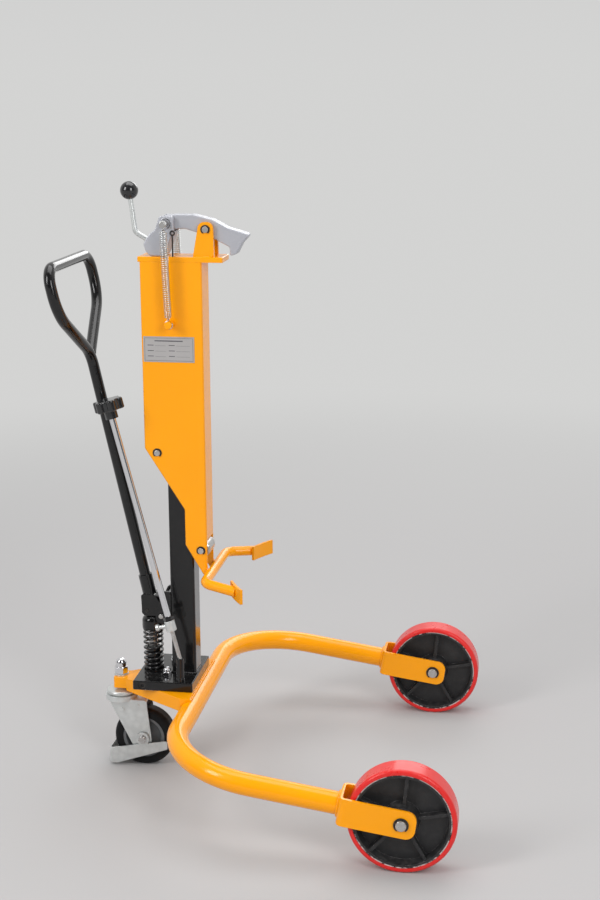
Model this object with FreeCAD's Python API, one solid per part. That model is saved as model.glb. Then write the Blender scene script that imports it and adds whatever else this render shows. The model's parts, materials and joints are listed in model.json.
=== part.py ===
"""Hydraulic drum truck: U frame on two wheels and a caster, mast, lifting carriage, rim gripper and pump.

Millimetres. +X points forward, from the mast to the drum, +Y to the truck's left, +Z up. The pieces are
drawn about the axis of the carried drum and shifted at the end, so that the origin lies on the floor
under the middle of the truck.
"""

import FreeCAD, Part
import math
import os
from FreeCAD import Vector

# ------------------------------------------------------------------ sizes of the whole truck
track = 732.0               # between the middles of the front wheels
axle_x = 94.0               # front axle, ahead of the drum's axis
mast_front_x = -362.0       # front face of the mast
mast_top = 850.0
block_bottom = 192.0        # underside of the pump block
lift_rest = 191.0           # how far the carriage stands above its lowest place
drum_r = 286.5              # body of the drum that the belly pads meet

# ------------------------------------------------------------------ named clearances
fit = 0.05                  # radial, a pin or shaft in its hole
near = 0.3                  # a roller, cam or cap beside what it works on
side_gap = 1.0              # beside a lever or arm between two cheeks

# ------------------------------------------------------------------ front wheels and forks
wheel_r = 100.0
wheel_w = 50.0
tread_t = 9.0
tread_round = 6.0
core_w = 46.0
rim_t = 6.0
web_t = 8.0
hub_r = 31.0
hub_w = 56.0
hub_bore_r = 13.0
rib_count = 5
rib_t = 6.0
rib_w = 36.0
rib_start_deg = 12.0
bearing_r = 23.5
bearing_w = 14.0
axle_r = 10.0
axle_end = 7.0              # axle beyond the fork's arm
groove_depth = 0.9
clip_t = 1.5
clip_outer_r = 14.0
clip_gap_deg = 70.0
fork_t = 6.0
fork_h = 53.0
fork_gap = 1.0              # hub to arm
fork_web_back = 117.0       # back of the fork's web behind the axle
fork_bend_r = 12.0
fork_tip_round = 18.0
fork_back_round = 5.0

# ------------------------------------------------------------------ U frame and caster bracket
tube_r = 21.0
tube_wall = 3.0
tube_bend_r = 170.0
crossbar_x = -356.0
bracket_t = 5.0
bracket_h = 27.0
bracket_half = 111.0
nose_x = -538.0
nose_half = 22.0
nose_len = 27.0
nose_round = 5.0
nose_lift = 5.0             # underside of the nose above the pan's lower edge

# ------------------------------------------------------------------ pump block, mast and cylinder
block_t = 19.5
block_back_x = -481.0
block_half = 79.0
block_chamfer = 1.5
block_over_mast = 4.0       # block ahead of the mast
screw_x = -420.0
screw_y = 35.0
screw_r = 5.0
screw_nut_flats = 17.0
screw_nut_h = 7.0
screw_dome_r = 7.8
screw_dome_rise = 1.5
plug_x = -462.0
plug_r = 7.5
plug_recess = 4.0
plug_t = 2.5
mast_w = 50.0
mast_wall = 4.0
mast_round = 5.0
barrel_r = 19.0
barrel_bore_r = 15.0
gland_r = 24.0
gland_t = 6.0
gland_spigot = 15.0
piston_rod_r = 11.0
piston_h = 20.0
piston_foot = 8.0           # piston above the cylinder's floor at the lowest place

# ------------------------------------------------------------------ carriage
plate_bottom = 1051.0       # underside of the top plate
top_t = 10.0
top_back_x = -459.0
top_front_x = -292.0
top_edge_r = 1.5
carriage_half = 32.0
sheet_t = 5.0
sheet_bend_r = 4.0          # outside of the bends
side_back_x = -455.0
side_front_x = -333.0
side_back_z = 683.0         # lower end of the deep part of the side plates
side_notch_x = -377.0
side_notch_top = 560.0
side_notch_low = 487.0
side_tip_z = 424.0
side_tip_w = 7.0
web_bottom = 497.0
roller_r = 16.7
roller_w = 50.0
roller_rim_t = 3.0
upper_roller_z = 675.0
lower_roller_z = 477.0
pin_r = 6.0
pin_end = 4.5               # pin beyond the clip's side of its plate
pin_clip_r = 9.0
pin_clip_t = 1.2
stud_x = -395.0
stud_z = 933.0
stud_r = 7.5
stud_len = 28.0
spring_y = 52.0
label_x = -400.5
label_z = 882.0
label_w = 101.0
label_h = 50.0
label_t = 0.8
belly_r = 10.0
belly_z = 434.0
belly_half = 105.0
belly_bend_r = 28.0
pad_deg = 28.7              # each pad, to the side of straight back
pad_span_deg = 12.5
pad_t = 5.0
pad_gap = 0.5               # pad to drum
pad_z = 430.0
pad_h = 29.0

# ------------------------------------------------------------------ rim gripper
pivot_x = -326.0
pivot_z = 1113.0
ear_inner = 15.5
ear_t = 8.0
ear_r = 14.0
ear_foot_back = 25.0
ear_foot_front = 16.0
arm_half = 14.5
arm_edge_r = 2.4
cam_x = -402.0
cam_z = 1124.0
cam_pin_r = 6.0
cam_pin_half = 58.0
cam_half = 26.0
cam_edge_r = 2.0
cam_boss_r = 10.5
cam_boss_h = 1.5
cam_slot_r = 16.5
cam_slot_half = 15.5
lever_rod_r = 5.0
ball_r = 17.5
ball_x = -479.0
ball_z = 1184.0
rod_bend_x = -469.0
rod_bend_z = 1104.0
rod_root_x = -437.0
rod_root_z = 1086.0
rod_tip_in_ball = 12.0
spring_coil_r = 8.0
spring_wire_r = 1.0
stop_eye_x = -389.0
stop_eye_y = -29.5
stop_eye_z = 1106.0
stop_wire_r = 1.5
stop_eye_r = 4.0

# ------------------------------------------------------------------ pump lever and pump
lever_x = -432.0            # lever pivot
lever_z = 332.0
lever_pin_r = 5.0
knuckle_r = 9.5
cheek_t = 6.0
cheek_back = 12.0
cheek_web_t = 5.0
cheek_low = 25.0
cheek_high = 52.0
lever_lean_deg = 12.16
shaft_foot_x = -473.4       # a point on the shaft's axis
shaft_foot_z = 429.0
shaft_r = 11.0
shaft_wall = 2.0
shaft_root_z = 372.0
socket_r = 14.0
socket_low_z = 350.0
socket_top_z = 412.0
loop_join_z = 866.0
loop_shoulder_z = 961.0
loop_grip_z = 1046.0
loop_half = 135.0
loop_join_r = 50.0
loop_shoulder_r = 79.0
loop_corner_r = 34.0
press_x = -464.0            # pressure roller
press_z = 339.0
press_r = 12.0
press_half = 9.0
press_pin_r = 4.0
lug_half = 16.0
lug_r = 10.5
plunger_x = -456.0
plunger_r = 9.0
cap_r = 22.0
cap_h = 27.0
cap_round = 12.0
return_coil_r = 18.5        # middle of the wire
return_wire_r = 2.5
return_turns = 8.5
pump_barrel_r = 14.0
pump_barrel_h = 48.0
plunger_in = 26.0           # plunger inside the barrel at rest
pump_stroke = 25.0

# ------------------------------------------------------------------ release rod
release_x = -385.0
release_y = -66.0
release_z = 258.0
release_lean_deg = 14.1
housing_r = 8.0
housing_over = 3.0          # housing above the ball's centre
ball_end_r = 5.0
spindle_r = 4.25
collar_r = 10.5
collar_low = 62.0
collar_h = 22.0
collar_screw_r = 4.0
collar_screw_len = 24.0
collar_head_r = 7.0
collar_head_h = 6.0
release_tube_r = 6.5
knob_low = 523.0
knob_h = 22.0
knob_r = 30.0
knob_core_r = 24.0
knob_lobe_r = 9.0
knob_lobes = 6
knob_round = 3.0
knob_hub_r = 12.5
knob_hub_h = 16.0

# ------------------------------------------------------------------ caster
stem_x = -526.5
stem_r = 8.0
stem_top = 220.0
race_r = 31.0
race_h = 12.0
neck_r = 15.0
lower_race_h = 7.0
caster_r = 62.5
caster_w = 36.0
caster_hub_r = 44.0
caster_trail = 48.5
crown_t = 4.0
caster_plate_t = 3.0
caster_plate_half = 24.0
caster_axle_r = 6.0
crown_back = 22.5           # crown behind the stem
crown_front = 57.0
axle_boss_r = 20.0
axle_drop = 20.0            # fork below the axle
rivet_r = 4.5
rivet_h = 1.5
pedal_t = 3.0
pedal_half = 29.5
pedal_back = 72.0           # behind the axle
pedal_front = 52.0
pedal_bend_r = 8.0
pedal_ear_r = 14.0
washer_t = 3.0
washer_r = 15.0
nut_flats = 24.0
nut_h = 15.0
dome_r = 11.0
dome_rise = 7.0

# ------------------------------------------------------------------ places that follow from the sizes
block_top = block_bottom + block_t
crossbar_z = block_bottom - bracket_t - tube_r
frame_pitch = math.degrees(math.atan2(crossbar_z - wheel_r, axle_x - crossbar_x))
crossbar_s = -math.hypot(crossbar_z - wheel_r, axle_x - crossbar_x)
fork_half = hub_w / 2 + fork_gap + fork_t
mast_back_x = mast_front_x - mast_w
mast_mid_x = mast_front_x - mast_w / 2
plate_top = plate_bottom + top_t
upper_roller_x = mast_back_x - near - roller_r
lower_roller_x = mast_front_x + near + roller_r
belly_x = side_front_x + belly_r
bracket_bottom = block_bottom - bracket_h
stem_dish_z = bracket_bottom - race_h
crown_top = stem_dish_z - near - lower_race_h
caster_axle_x = stem_x + caster_trail
cap_top = press_z - press_r - near
lean = math.tan(math.radians(lever_lean_deg))


def shaft_axis(z):
    """The point of the pump lever's axis at a height."""
    return Vector(shaft_foot_x - (z - shaft_foot_z) * lean, 0, z)


# ------------------------------------------------------------------ shapes that several pieces use
def box(x0, x1, y0, y1, z0, z1):
    return Part.makeBox(x1 - x0, y1 - y0, z1 - z0, Vector(x0, y0, z0))


def rod(radius, start, end):
    return Part.makeCylinder(radius, (end - start).Length, start, end - start)


def ring(outer, inner, start, end):
    return rod(outer, start, end).cut(rod(inner, start, end))


def upright(radius, x, y, z0, z1):
    return rod(radius, Vector(x, y, z0), Vector(x, y, z1))


def crosswise(radius, x, z, y0, y1):
    return rod(radius, Vector(x, y0, z), Vector(x, y1, z))


def mirrored(shape):
    return shape.mirror(Vector(0, 0, 0), Vector(0, 1, 0))


def both_sides(shape):
    return Part.makeCompound([shape, mirrored(shape)])


def route(corners, closed=False):
    """Straight runs joined by tangent arcs, from (point, radius) corners."""
    count = len(corners)
    marks = []
    for i, (point, radius) in enumerate(corners):
        if radius == 0 or (not closed and i in (0, count - 1)):
            marks.append((point, None, point))
            continue
        before = (corners[i - 1][0] - point).normalize()
        after = (corners[(i + 1) % count][0] - point).normalize()
        half = before.getAngle(after) / 2
        reach = radius / math.tan(half)
        inward = (before + after).normalize()
        middle = point + inward * (radius / math.sin(half) - radius)
        marks.append((point + before * reach, middle, point + after * reach))
    edges = []
    for i, (arrive, middle, leave) in enumerate(marks):
        if middle:
            edges.append(Part.Arc(arrive, middle, leave).toShape())
        if i < count - 1 or closed:
            following = marks[(i + 1) % count][0]
            if (following - leave).Length > 1e-6:
                edges.append(Part.LineSegment(leave, following).toShape())
    return Part.Wire(edges)


def side_plate(points, y0, y1):
    """An outline of (x, z, radius) corners seen from the side, from y0 to y1."""
    wire = route([(Vector(x, y0, z), r) for x, z, r in points], closed=True)
    return Part.Face(wire).extrude(Vector(0, y1 - y0, 0))


def soft_sides(plate, radius):
    """Rounds the two outlines of a side plate."""
    ends = (plate.BoundBox.YMin, plate.BoundBox.YMax)
    rims = [e for e in plate.Edges
            if any(all(abs(v.Y - end) < 0.01 for v in e.Vertexes) for end in ends)]
    return plate.makeFillet(radius, rims)


def plan_plate(points, z0, z1):
    """An outline of (x, y, radius) corners seen from above, from z0 to z1."""
    wire = route([(Vector(x, y, z0), r) for x, y, r in points], closed=True)
    return Part.Face(wire).extrude(Vector(0, 0, z1 - z0))


def bent_rod(corners, radius):
    spine = route(corners)
    start = corners[0][0]
    section = Part.Wire(Part.makeCircle(radius, start, corners[1][0] - start))
    return spine.makePipeShell([section], True, True)


def turned(points):
    """A solid turned about the Y axis from (radius, y, corner radius) points."""
    wire = route([(Vector(r, y, 0), c) for r, y, c in points], closed=True)
    return Part.Face(wire).revolve(Vector(0, 0, 0), Vector(0, 1, 0), 360)


def upturned(points):
    """A solid turned about the Z axis from (radius, z, corner radius) points."""
    wire = route([(Vector(r, 0, z), c) for r, z, c in points], closed=True)
    return Part.Face(wire).revolve(Vector(0, 0, 0), Vector(0, 0, 1), 360)


def hexagon(flats, z0, z1):
    corner_r = flats / math.sqrt(3)
    points = []
    for i in range(6):
        angle = math.radians(60 * i)
        points.append((corner_r * math.cos(angle), corner_r * math.sin(angle), 0))
    return plan_plate(points, z0, z1)


def moved(shape, x=0, y=0, z=0):
    result = shape.copy()
    result.translate(Vector(x, y, z))
    return result


def dome_head(flats, height, radius, rise, low):
    """A hexagon with a domed top, standing at low."""
    shoulder = low + height
    corner_r = flats / math.sqrt(3)
    head = hexagon(flats, low, shoulder)
    head = head.common(Part.makeCone(corner_r + height, corner_r - 1.5, height, Vector(0, 0, low)))
    dome = upturned([(0, shoulder - 1, 0), (radius, shoulder - 1, 0),
                     (radius, shoulder + rise + radius, radius - 0.5),
                     (0, shoulder + rise + radius, 0)])
    return head.fuse(dome)


def open_clip(outer, inner, thickness, opening):
    """A retaining ring about the Y axis, open downwards, from y = 0 to its thickness."""
    whole = ring(outer, inner, Vector(0, 0, 0), Vector(0, thickness, 0))
    spread = outer * 2 * math.tan(math.radians(opening / 2))
    wedge = [(0, 0, 0), (spread, -outer * 2, 0), (-spread, -outer * 2, 0)]
    return whole.cut(side_plate(wedge, -thickness, thickness * 2))


# ------------------------------------------------------------------ front wheels
def on_frame_slope(shape, side=0):
    """Lays a shape drawn about a level axle into the frame's sloping plane."""
    result = shape.copy()
    result.rotate(Vector(0, 0, 0), Vector(0, 1, 0), frame_pitch)
    result.translate(Vector(axle_x, side * track / 2, wheel_r))
    return result


def at_wheel(shape, side):
    return moved(shape, axle_x, side * track / 2, wheel_r)


def tyre():
    inner = wheel_r - tread_t
    half = wheel_w / 2
    return turned([(inner, -half, 0), (wheel_r, -half, tread_round),
                   (wheel_r, half, tread_round), (inner, half, 0)])


def wheel_core():
    core_r = wheel_r - tread_t
    rim_in = core_r - rim_t
    half = core_w / 2
    core = turned([(rim_in - 3, -web_t / 2, 0), (rim_in, -half, 0), (core_r, -half, 0),
                   (core_r, half, 0), (rim_in, half, 0), (rim_in - 3, web_t / 2, 0)])
    core = core.fuse(crosswise(rim_in - 1, 0, 0, -web_t / 2, web_t / 2))
    core = core.fuse(turned([(0, -hub_w / 2, 0), (hub_r - 2, -hub_w / 2, 1.5), (hub_r + 3, 0, 0),
                             (hub_r - 2, hub_w / 2, 1.5), (0, hub_w / 2, 0)]))
    for i in range(rib_count):
        rib = box(hub_r - 4, rim_in + 1, -rib_w / 2, rib_w / 2, -rib_t / 2, rib_t / 2)
        rib.rotate(Vector(0, 0, 0), Vector(0, -1, 0), rib_start_deg + 360 * i / rib_count)
        core = core.fuse(rib)
    core = core.cut(crosswise(hub_bore_r, 0, 0, -hub_w, hub_w))
    for end in (-1, 1):
        core = core.cut(crosswise(bearing_r, 0, 0, end * (hub_w / 2 - bearing_w), end * hub_w))
    return core.removeSplitter()


def wheel_bearing():
    """A shielded ball bearing about the Y axis, its outer face at y = 0."""
    inner = axle_r + fit
    return turned([(inner, 0, 0.5), (inner + 3.5, 0, 0), (inner + 4, 0.8, 0),
                   (bearing_r - 4, 0.8, 0), (bearing_r - 3.5, 0, 0), (bearing_r, 0, 0),
                   (bearing_r, bearing_w, 0), (inner, bearing_w, 0.5)])


def wheel_bearings():
    near_end = moved(wheel_bearing(), 0, -hub_w / 2)
    return both_sides(near_end)


def wheel_axle():
    end = fork_half + axle_end
    groove = fork_half + 1
    shaft = turned([(0, -end, 0), (axle_r, -end, 1.5), (axle_r, end, 1.5), (0, end, 0)])
    for side in (-1, 1):
        start = Vector(0, side * groove, 0)
        stop = Vector(0, side * (groove + clip_t + 0.2), 0)
        shaft = shaft.cut(ring(axle_r + 1, axle_r - groove_depth, start, stop))
    return shaft


def axle_clips():
    clip = open_clip(clip_outer_r, axle_r - groove_depth, clip_t, clip_gap_deg)
    return both_sides(moved(clip, 0, fork_half + 1.1))


def wheel_fork():
    back = -fork_web_back
    tip = fork_h / 2
    outer = [(back, -fork_half, fork_bend_r), (tip, -fork_half, 0), (tip, fork_half, 0),
             (back, fork_half, fork_bend_r)]
    half = fork_half - fork_t
    inner = [(back + fork_t, -half, fork_bend_r - fork_t), (tip + 1, -half, 0),
             (tip + 1, half, 0), (back + fork_t, half, fork_bend_r - fork_t)]
    strap = plan_plate(outer, -tip, tip).cut(plan_plate(inner, -tip - 1, tip + 1))
    side = [(back - 1, -tip, fork_back_round), (tip, -tip, fork_tip_round),
            (tip, tip, fork_tip_round), (back - 1, tip, fork_back_round)]
    strap = strap.common(side_plate(side, -fork_half - 1, fork_half + 1))
    return strap.cut(crosswise(axle_r + fit / 2, 0, 0, -fork_half - 1, fork_half + 1))


# ------------------------------------------------------------------ frame
def frame_tube():
    half = track / 2
    corners = [(Vector(-fork_web_back, -half, 0), 0), (Vector(crossbar_s, -half, 0), tube_bend_r),
               (Vector(crossbar_s, half, 0), tube_bend_r), (Vector(-fork_web_back, half, 0), 0)]
    tube = bent_rod(corners, tube_r).cut(bent_rod(corners, tube_r - tube_wall))
    return on_frame_slope(tube)


def bracket_outline(shrink, front_x):
    """Half of the pan's plan, from the nose to the crossbar, then mirrored."""
    slope = math.atan2(bracket_half - nose_half, crossbar_x - tube_r - nose_x - nose_len)
    along = shrink * (1 / math.cos(slope) - math.tan(slope))
    half = [(nose_x + shrink, nose_half - shrink, max(nose_round - shrink, 0.5)),
            (nose_x + nose_len + along, nose_half - shrink, 0),
            (crossbar_x - tube_r + along, bracket_half - shrink, 0),
            (front_x, bracket_half - shrink, 0)]
    return half + [(x, -y, r) for x, y, r in reversed(half)]


def caster_bracket():
    pan = plan_plate(bracket_outline(0, crossbar_x), bracket_bottom, block_bottom)
    hollow = plan_plate(bracket_outline(bracket_t, crossbar_x + 1), bracket_bottom - 1,
                        block_bottom - bracket_t)
    nose_end = nose_x + nose_len
    hollow = hollow.cut(box(nose_x, nose_end, -nose_half, nose_half, bracket_bottom - 2,
                            block_bottom))
    pan = pan.cut(hollow)
    pan = pan.cut(box(nose_x - 1, nose_end, -nose_half - 1, nose_half + 1, bracket_bottom - 1,
                      bracket_bottom + nose_lift))
    pan = pan.cut(crosswise(tube_r, crossbar_x, crossbar_z, -bracket_half - 1, bracket_half + 1))
    pan = pan.cut(upright(stem_r + fit / 2, stem_x, 0, bracket_bottom - 1, block_bottom + 1))
    for side in (-1, 1):
        pan = pan.cut(upright(screw_r, screw_x, side * screw_y, bracket_bottom, block_bottom + 1))
    return pan


# ------------------------------------------------------------------ pump block, mast, cylinder
def pump_block():
    front = mast_front_x + block_over_mast
    block = box(block_back_x, front, -block_half, block_half, block_bottom, block_top)
    block = block.makeChamfer(block_chamfer, block.Edges)
    block = block.cut(upright(plunger_r + fit, plunger_x, 0, block_bottom + 6, block_top + 1))
    mid_z = (block_bottom + block_top) / 2
    for side in (-1, 1):
        block = block.cut(upright(screw_r, screw_x, side * screw_y, block_bottom - 1, block_top + 1))
        block = block.cut(crosswise(plug_r, plug_x, mid_z, side * (block_half - plug_recess),
                                    side * (block_half + 1)))
    return block


def block_screws():
    head = dome_head(screw_nut_flats, screw_nut_h, screw_dome_r, screw_dome_rise, block_top)
    shank = upright(screw_r, screw_x, screw_y, block_bottom - bracket_t, block_top)
    return both_sides(moved(head, screw_x, screw_y).fuse(shank))


def port_plugs():
    mid_z = (block_bottom + block_top) / 2
    face = block_half - plug_recess
    plug = crosswise(plug_r, plug_x, mid_z, face, face + plug_t)
    key = hexagon(7, -plug_t, 0.1)
    key.rotate(Vector(0, 0, 0), Vector(1, 0, 0), -90)
    return both_sides(plug.cut(moved(key, plug_x, face + plug_t, mid_z)))


def square_outline(x0, x1, half, corner):
    return [(x0, -half, corner), (x1, -half, corner), (x1, half, corner), (x0, half, corner)]


def mast_tube():
    half = mast_w / 2
    outer = plan_plate(square_outline(mast_back_x, mast_front_x, half, mast_round),
                       block_top, mast_top)
    bore = plan_plate(square_outline(mast_back_x + mast_wall, mast_front_x - mast_wall,
                                     half - mast_wall, 1), block_top - 1, mast_top + 1)
    return outer.cut(bore)


def cylinder_barrel():
    return ring(barrel_r, barrel_bore_r, Vector(mast_mid_x, 0, block_top),
                Vector(mast_mid_x, 0, mast_top))


def cylinder_gland():
    flange = upright(gland_r, mast_mid_x, 0, mast_top, mast_top + gland_t)
    flange = flange.makeChamfer(1, flange.Edges[0])
    spigot = upright(barrel_bore_r, mast_mid_x, 0, mast_top - gland_spigot, mast_top)
    bore = upright(piston_rod_r + fit, mast_mid_x, 0, mast_top - gland_spigot - 1,
                   mast_top + gland_t + 1)
    return flange.fuse(spigot).cut(bore)


def piston_rod():
    foot = block_top + lift_rest + piston_foot
    stem = upright(piston_rod_r, mast_mid_x, 0, foot, plate_bottom)
    return stem.fuse(upright(barrel_bore_r - fit, mast_mid_x, 0, foot, foot + piston_h))


# ------------------------------------------------------------------ carriage
def carriage_channel():
    side = [(side_back_x, plate_bottom, 0), (side_back_x, side_back_z, 8),
            (side_notch_x, side_notch_top, 8), (side_notch_x, side_notch_low, 8),
            (side_front_x - side_tip_w, side_tip_z, 3), (side_front_x, side_tip_z, 3),
            (side_front_x, plate_bottom, 0)]
    plates = side_plate(side, -carriage_half, carriage_half)
    bends = [e for e in plates.Edges
             if all(abs(v.X - side_front_x) < 0.01 for v in e.Vertexes) and e.BoundBox.ZLength > 300]
    plates = plates.makeFillet(sheet_bend_r, bends)
    inside = carriage_half - sheet_t
    plates = plates.cut(box(side_back_x - 1, side_front_x - sheet_t, -inside, inside,
                            side_tip_z - 1, plate_bottom + 1))
    plates = plates.cut(box(side_front_x - sheet_t - 1, side_front_x + 1, -inside, inside,
                            side_tip_z - 1, web_bottom))
    for x, z in ((upper_roller_x, upper_roller_z), (lower_roller_x, lower_roller_z)):
        plates = plates.cut(crosswise(pin_r, x, z, -carriage_half - 1, carriage_half + 1))
    return plates


def top_plate():
    outline = [(top_back_x, -carriage_half, 3), (top_front_x, -carriage_half, 3),
               (top_front_x, carriage_half, 3), (top_back_x, carriage_half, 3)]
    plate = plan_plate(outline, plate_bottom, plate_top)
    rims = [e for e in plate.Edges if all(abs(v.Z - plate_top) < 0.01 for v in e.Vertexes)]
    return plate.makeFillet(top_edge_r, rims)


def clamp_ears():
    ear = side_plate([(pivot_x - ear_foot_back, plate_top, 0), (pivot_x + ear_foot_front, plate_top, 0),
                      (pivot_x + ear_r + 0.5, pivot_z + ear_r, ear_r - 1),
                      (pivot_x - ear_r + 1, pivot_z + ear_r, ear_r - 1.5)],
                     ear_inner, ear_inner + ear_t)
    ear = ear.cut(crosswise(pin_r, pivot_x, pivot_z, ear_inner - 1, ear_inner + ear_t + 1))
    return both_sides(ear)


def clevis_pin(x, z, outer):
    """A pin across two plates whose outer faces are at +-outer, with its two clips."""
    end = outer + pin_end
    groove = outer + 0.3
    pin = turned([(0, -end, 0), (pin_r, -end, 1), (pin_r, end, 1), (0, end, 0)])
    for side in (-1, 1):
        pin = pin.cut(ring(pin_r + 1, pin_r - groove_depth / 2, Vector(0, side * groove, 0),
                           Vector(0, side * (groove + pin_clip_t + 0.2), 0)))
    clip = open_clip(pin_clip_r, pin_r - groove_depth / 2, pin_clip_t, clip_gap_deg)
    clips = both_sides(moved(clip, 0, groove + 0.1))
    return moved(pin, x, 0, z), moved(clips, x, 0, z)


def spring_studs():
    end = carriage_half + stud_len
    stud = turned([(0, carriage_half, 0), (stud_r, carriage_half, 0), (stud_r, end, 1), (0, end, 0)])
    stud = stud.cut(ring(stud_r + 1, stud_r - 1.2, Vector(0, spring_y - 2.2, 0),
                         Vector(0, spring_y + 2.2, 0)))
    return both_sides(moved(stud, stud_x, 0, stud_z))


def label_plate():
    return box(label_x - label_w / 2, label_x + label_w / 2, -carriage_half - label_t,
               -carriage_half, label_z - label_h / 2, label_z + label_h / 2)


def belly_bar():
    angle = math.radians(pad_deg)
    reach = drum_r + pad_gap
    end = Vector(-reach * math.cos(angle), reach * math.sin(angle), pad_z)
    corner = Vector(belly_x, belly_half, belly_z)
    other_end = Vector(end.x, -end.y, end.z)
    other_corner = Vector(corner.x, -corner.y, corner.z)
    bar = bent_rod([(end, 0), (corner, belly_bend_r), (other_corner, belly_bend_r), (other_end, 0)],
                   belly_r)
    pads = upright(reach + pad_t, 0, 0, pad_z - pad_h, pad_z + pad_h)
    return bar.cut(pads)


def belly_pads():
    reach = drum_r + pad_gap
    foot = Vector(0, 0, pad_z - pad_h / 2)
    up = Vector(0, 0, 1)
    sector = Part.makeCylinder(reach + pad_t, pad_h, foot, up, pad_span_deg)
    sector = sector.cut(Part.makeCylinder(reach, pad_h, foot, up))
    sector.rotate(Vector(0, 0, 0), up, 180 - pad_deg - pad_span_deg / 2)
    return both_sides(sector)


def guide_roller(x, z):
    roller = turned([(pin_r + fit, -roller_w / 2, 1), (roller_r - roller_rim_t, -roller_w / 2, 0),
                     (roller_r, -roller_w / 2 + 2, 1), (roller_r, roller_w / 2 - 2, 1),
                     (roller_r - roller_rim_t, roller_w / 2, 0), (pin_r + fit, roller_w / 2, 1)])
    return moved(roller, x, 0, z)


def stop_eye():
    loop = Part.makeTorus(stop_eye_r, stop_wire_r, Vector(0, 0, 0), Vector(0, 1, 0))
    loop = moved(loop, stop_eye_x, stop_eye_y, stop_eye_z)
    post = upright(stop_wire_r, stop_eye_x, stop_eye_y, plate_top, stop_eye_z - stop_eye_r)
    return post.fuse(loop)


# ------------------------------------------------------------------ rim gripper
def clamp_arm():
    beak = [(cam_x - 14, cam_z + 14, 12), (-385, 1140, 30), (-351, 1140, 40), (-314, 1131, 30),
            (-286, 1116, 20), (-242, 1103, 4), (-257, 1087, 10), (-268, 1066, 5),
            (-281, 1062, 3), (-281, 1079, 6), (-311, 1094, 25), (-344, 1106, 25),
            (-367, 1113, 20), (cam_x - 14, cam_z - 14, 12)]
    arm = soft_sides(side_plate(beak, -arm_half, arm_half), arm_edge_r)
    arm = arm.cut(crosswise(pin_r + fit, pivot_x, pivot_z, -arm_half - 1, arm_half + 1))
    return arm.cut(crosswise(cam_pin_r, cam_x, cam_z, -arm_half - 1, arm_half + 1))


def cam_pin():
    end = cam_pin_half
    pin = turned([(0, -end, 0), (cam_pin_r, -end, 1), (cam_pin_r, end, 1), (0, end, 0)])
    for side in (-1, 1):
        pin = pin.cut(ring(cam_pin_r + 1, cam_pin_r - 1, Vector(0, side * (spring_y - 2), 0),
                           Vector(0, side * (spring_y + 2), 0)))
    return moved(pin, cam_x, 0, cam_z)


def cam_lever():
    foot = plate_top + near
    outline = [(cam_x - 13, cam_z + 14, 6), (cam_x + 14, cam_z + 14, 6), (cam_x + 14, cam_z - 14, 10),
               (cam_x - 6, foot, 4), (-440, foot, 16), (-448, 1085, 10), (-435, 1104, 8),
               (-424, 1112, 8)]
    body = soft_sides(side_plate(outline, -cam_half, cam_half), cam_edge_r)
    body = body.fuse(crosswise(cam_boss_r, cam_x, cam_z, -cam_half - cam_boss_h,
                               cam_half + cam_boss_h))
    slot_x = cam_x - cam_slot_r
    slot_z = cam_z - cam_slot_r
    slot = [(slot_x, slot_z, cam_slot_r), (cam_x + 40, slot_z, 0), (cam_x + 40, cam_z + 40, 0),
            (slot_x, cam_z + 40, 0)]
    body = body.cut(side_plate(slot, -cam_slot_half, cam_slot_half))
    body = body.cut(crosswise(cam_pin_r + fit, cam_x, cam_z, -cam_half - 3, cam_half + 3))
    return body.cut(cam_lever_rod())


def cam_lever_rod():
    root = Vector(rod_root_x, 0, rod_root_z)
    bend = Vector(rod_bend_x, 0, rod_bend_z)
    tip = Vector(ball_x, 0, ball_z)
    tip = tip + (bend - tip).normalize() * (ball_r - rod_tip_in_ball)
    return bent_rod([(root, 0), (bend, 14), (tip, 0)], lever_rod_r)


def ball_knob():
    ball = Part.makeSphere(ball_r, Vector(ball_x, 0, ball_z))
    bend = Vector(rod_bend_x, 0, rod_bend_z)
    down = (bend - Vector(ball_x, 0, ball_z)).normalize()
    flat = Vector(ball_x, 0, ball_z) + down * (ball_r - 1)
    ball = ball.cut(rod(ball_r, flat, flat + down * 5))
    return ball.cut(cam_lever_rod())


def tension_spring():
    """A coil drawn as a sleeve, with a ring at each end about the stud and the cam pin."""
    low = Vector(stud_x, spring_y, stud_z)
    high = Vector(cam_x, spring_y, cam_z)
    up = (high - low).normalize()
    low_ring = stud_r - 1.2 + near + spring_wire_r
    high_ring = cam_pin_r - 1 + near + spring_wire_r
    start = low + up * (low_ring + spring_coil_r)
    stop = high - up * (high_ring + spring_coil_r)
    coil = ring(spring_coil_r, spring_coil_r - spring_wire_r * 2, start, stop)
    for end, inward in ((start, up), (stop, up * -1)):
        coil = coil.fuse(rod(spring_coil_r, end, end + inward * spring_wire_r * 2))
    for centre, radius, end in ((low, low_ring, start), (high, high_ring, stop)):
        loop = Part.makeTorus(radius, spring_wire_r, centre, Vector(0, 1, 0))
        toward = (end - centre).normalize()
        coil = coil.fuse(loop).fuse(rod(spring_wire_r, centre + toward * radius, end))
    return coil


# ------------------------------------------------------------------ pump lever
def lever_bracket():
    half = lug_half + side_gap + cheek_t
    cheeks = side_plate([(mast_back_x, lever_z - cheek_low, 2),
                         (lever_x - cheek_back, lever_z - cheek_back, 11),
                         (lever_x - cheek_back, lever_z + cheek_back, 11),
                         (mast_back_x - 15, lever_z + cheek_high, 6),
                         (mast_back_x, lever_z + cheek_high, 2)], -half, half)
    inside = half - cheek_t
    cheeks = cheeks.cut(box(lever_x - cheek_back - 1, mast_back_x - cheek_web_t, -inside, inside,
                            lever_z - cheek_low - 1, lever_z + cheek_high + 1))
    return cheeks.cut(crosswise(lever_pin_r, lever_x, lever_z, -half - 1, half + 1))


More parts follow.
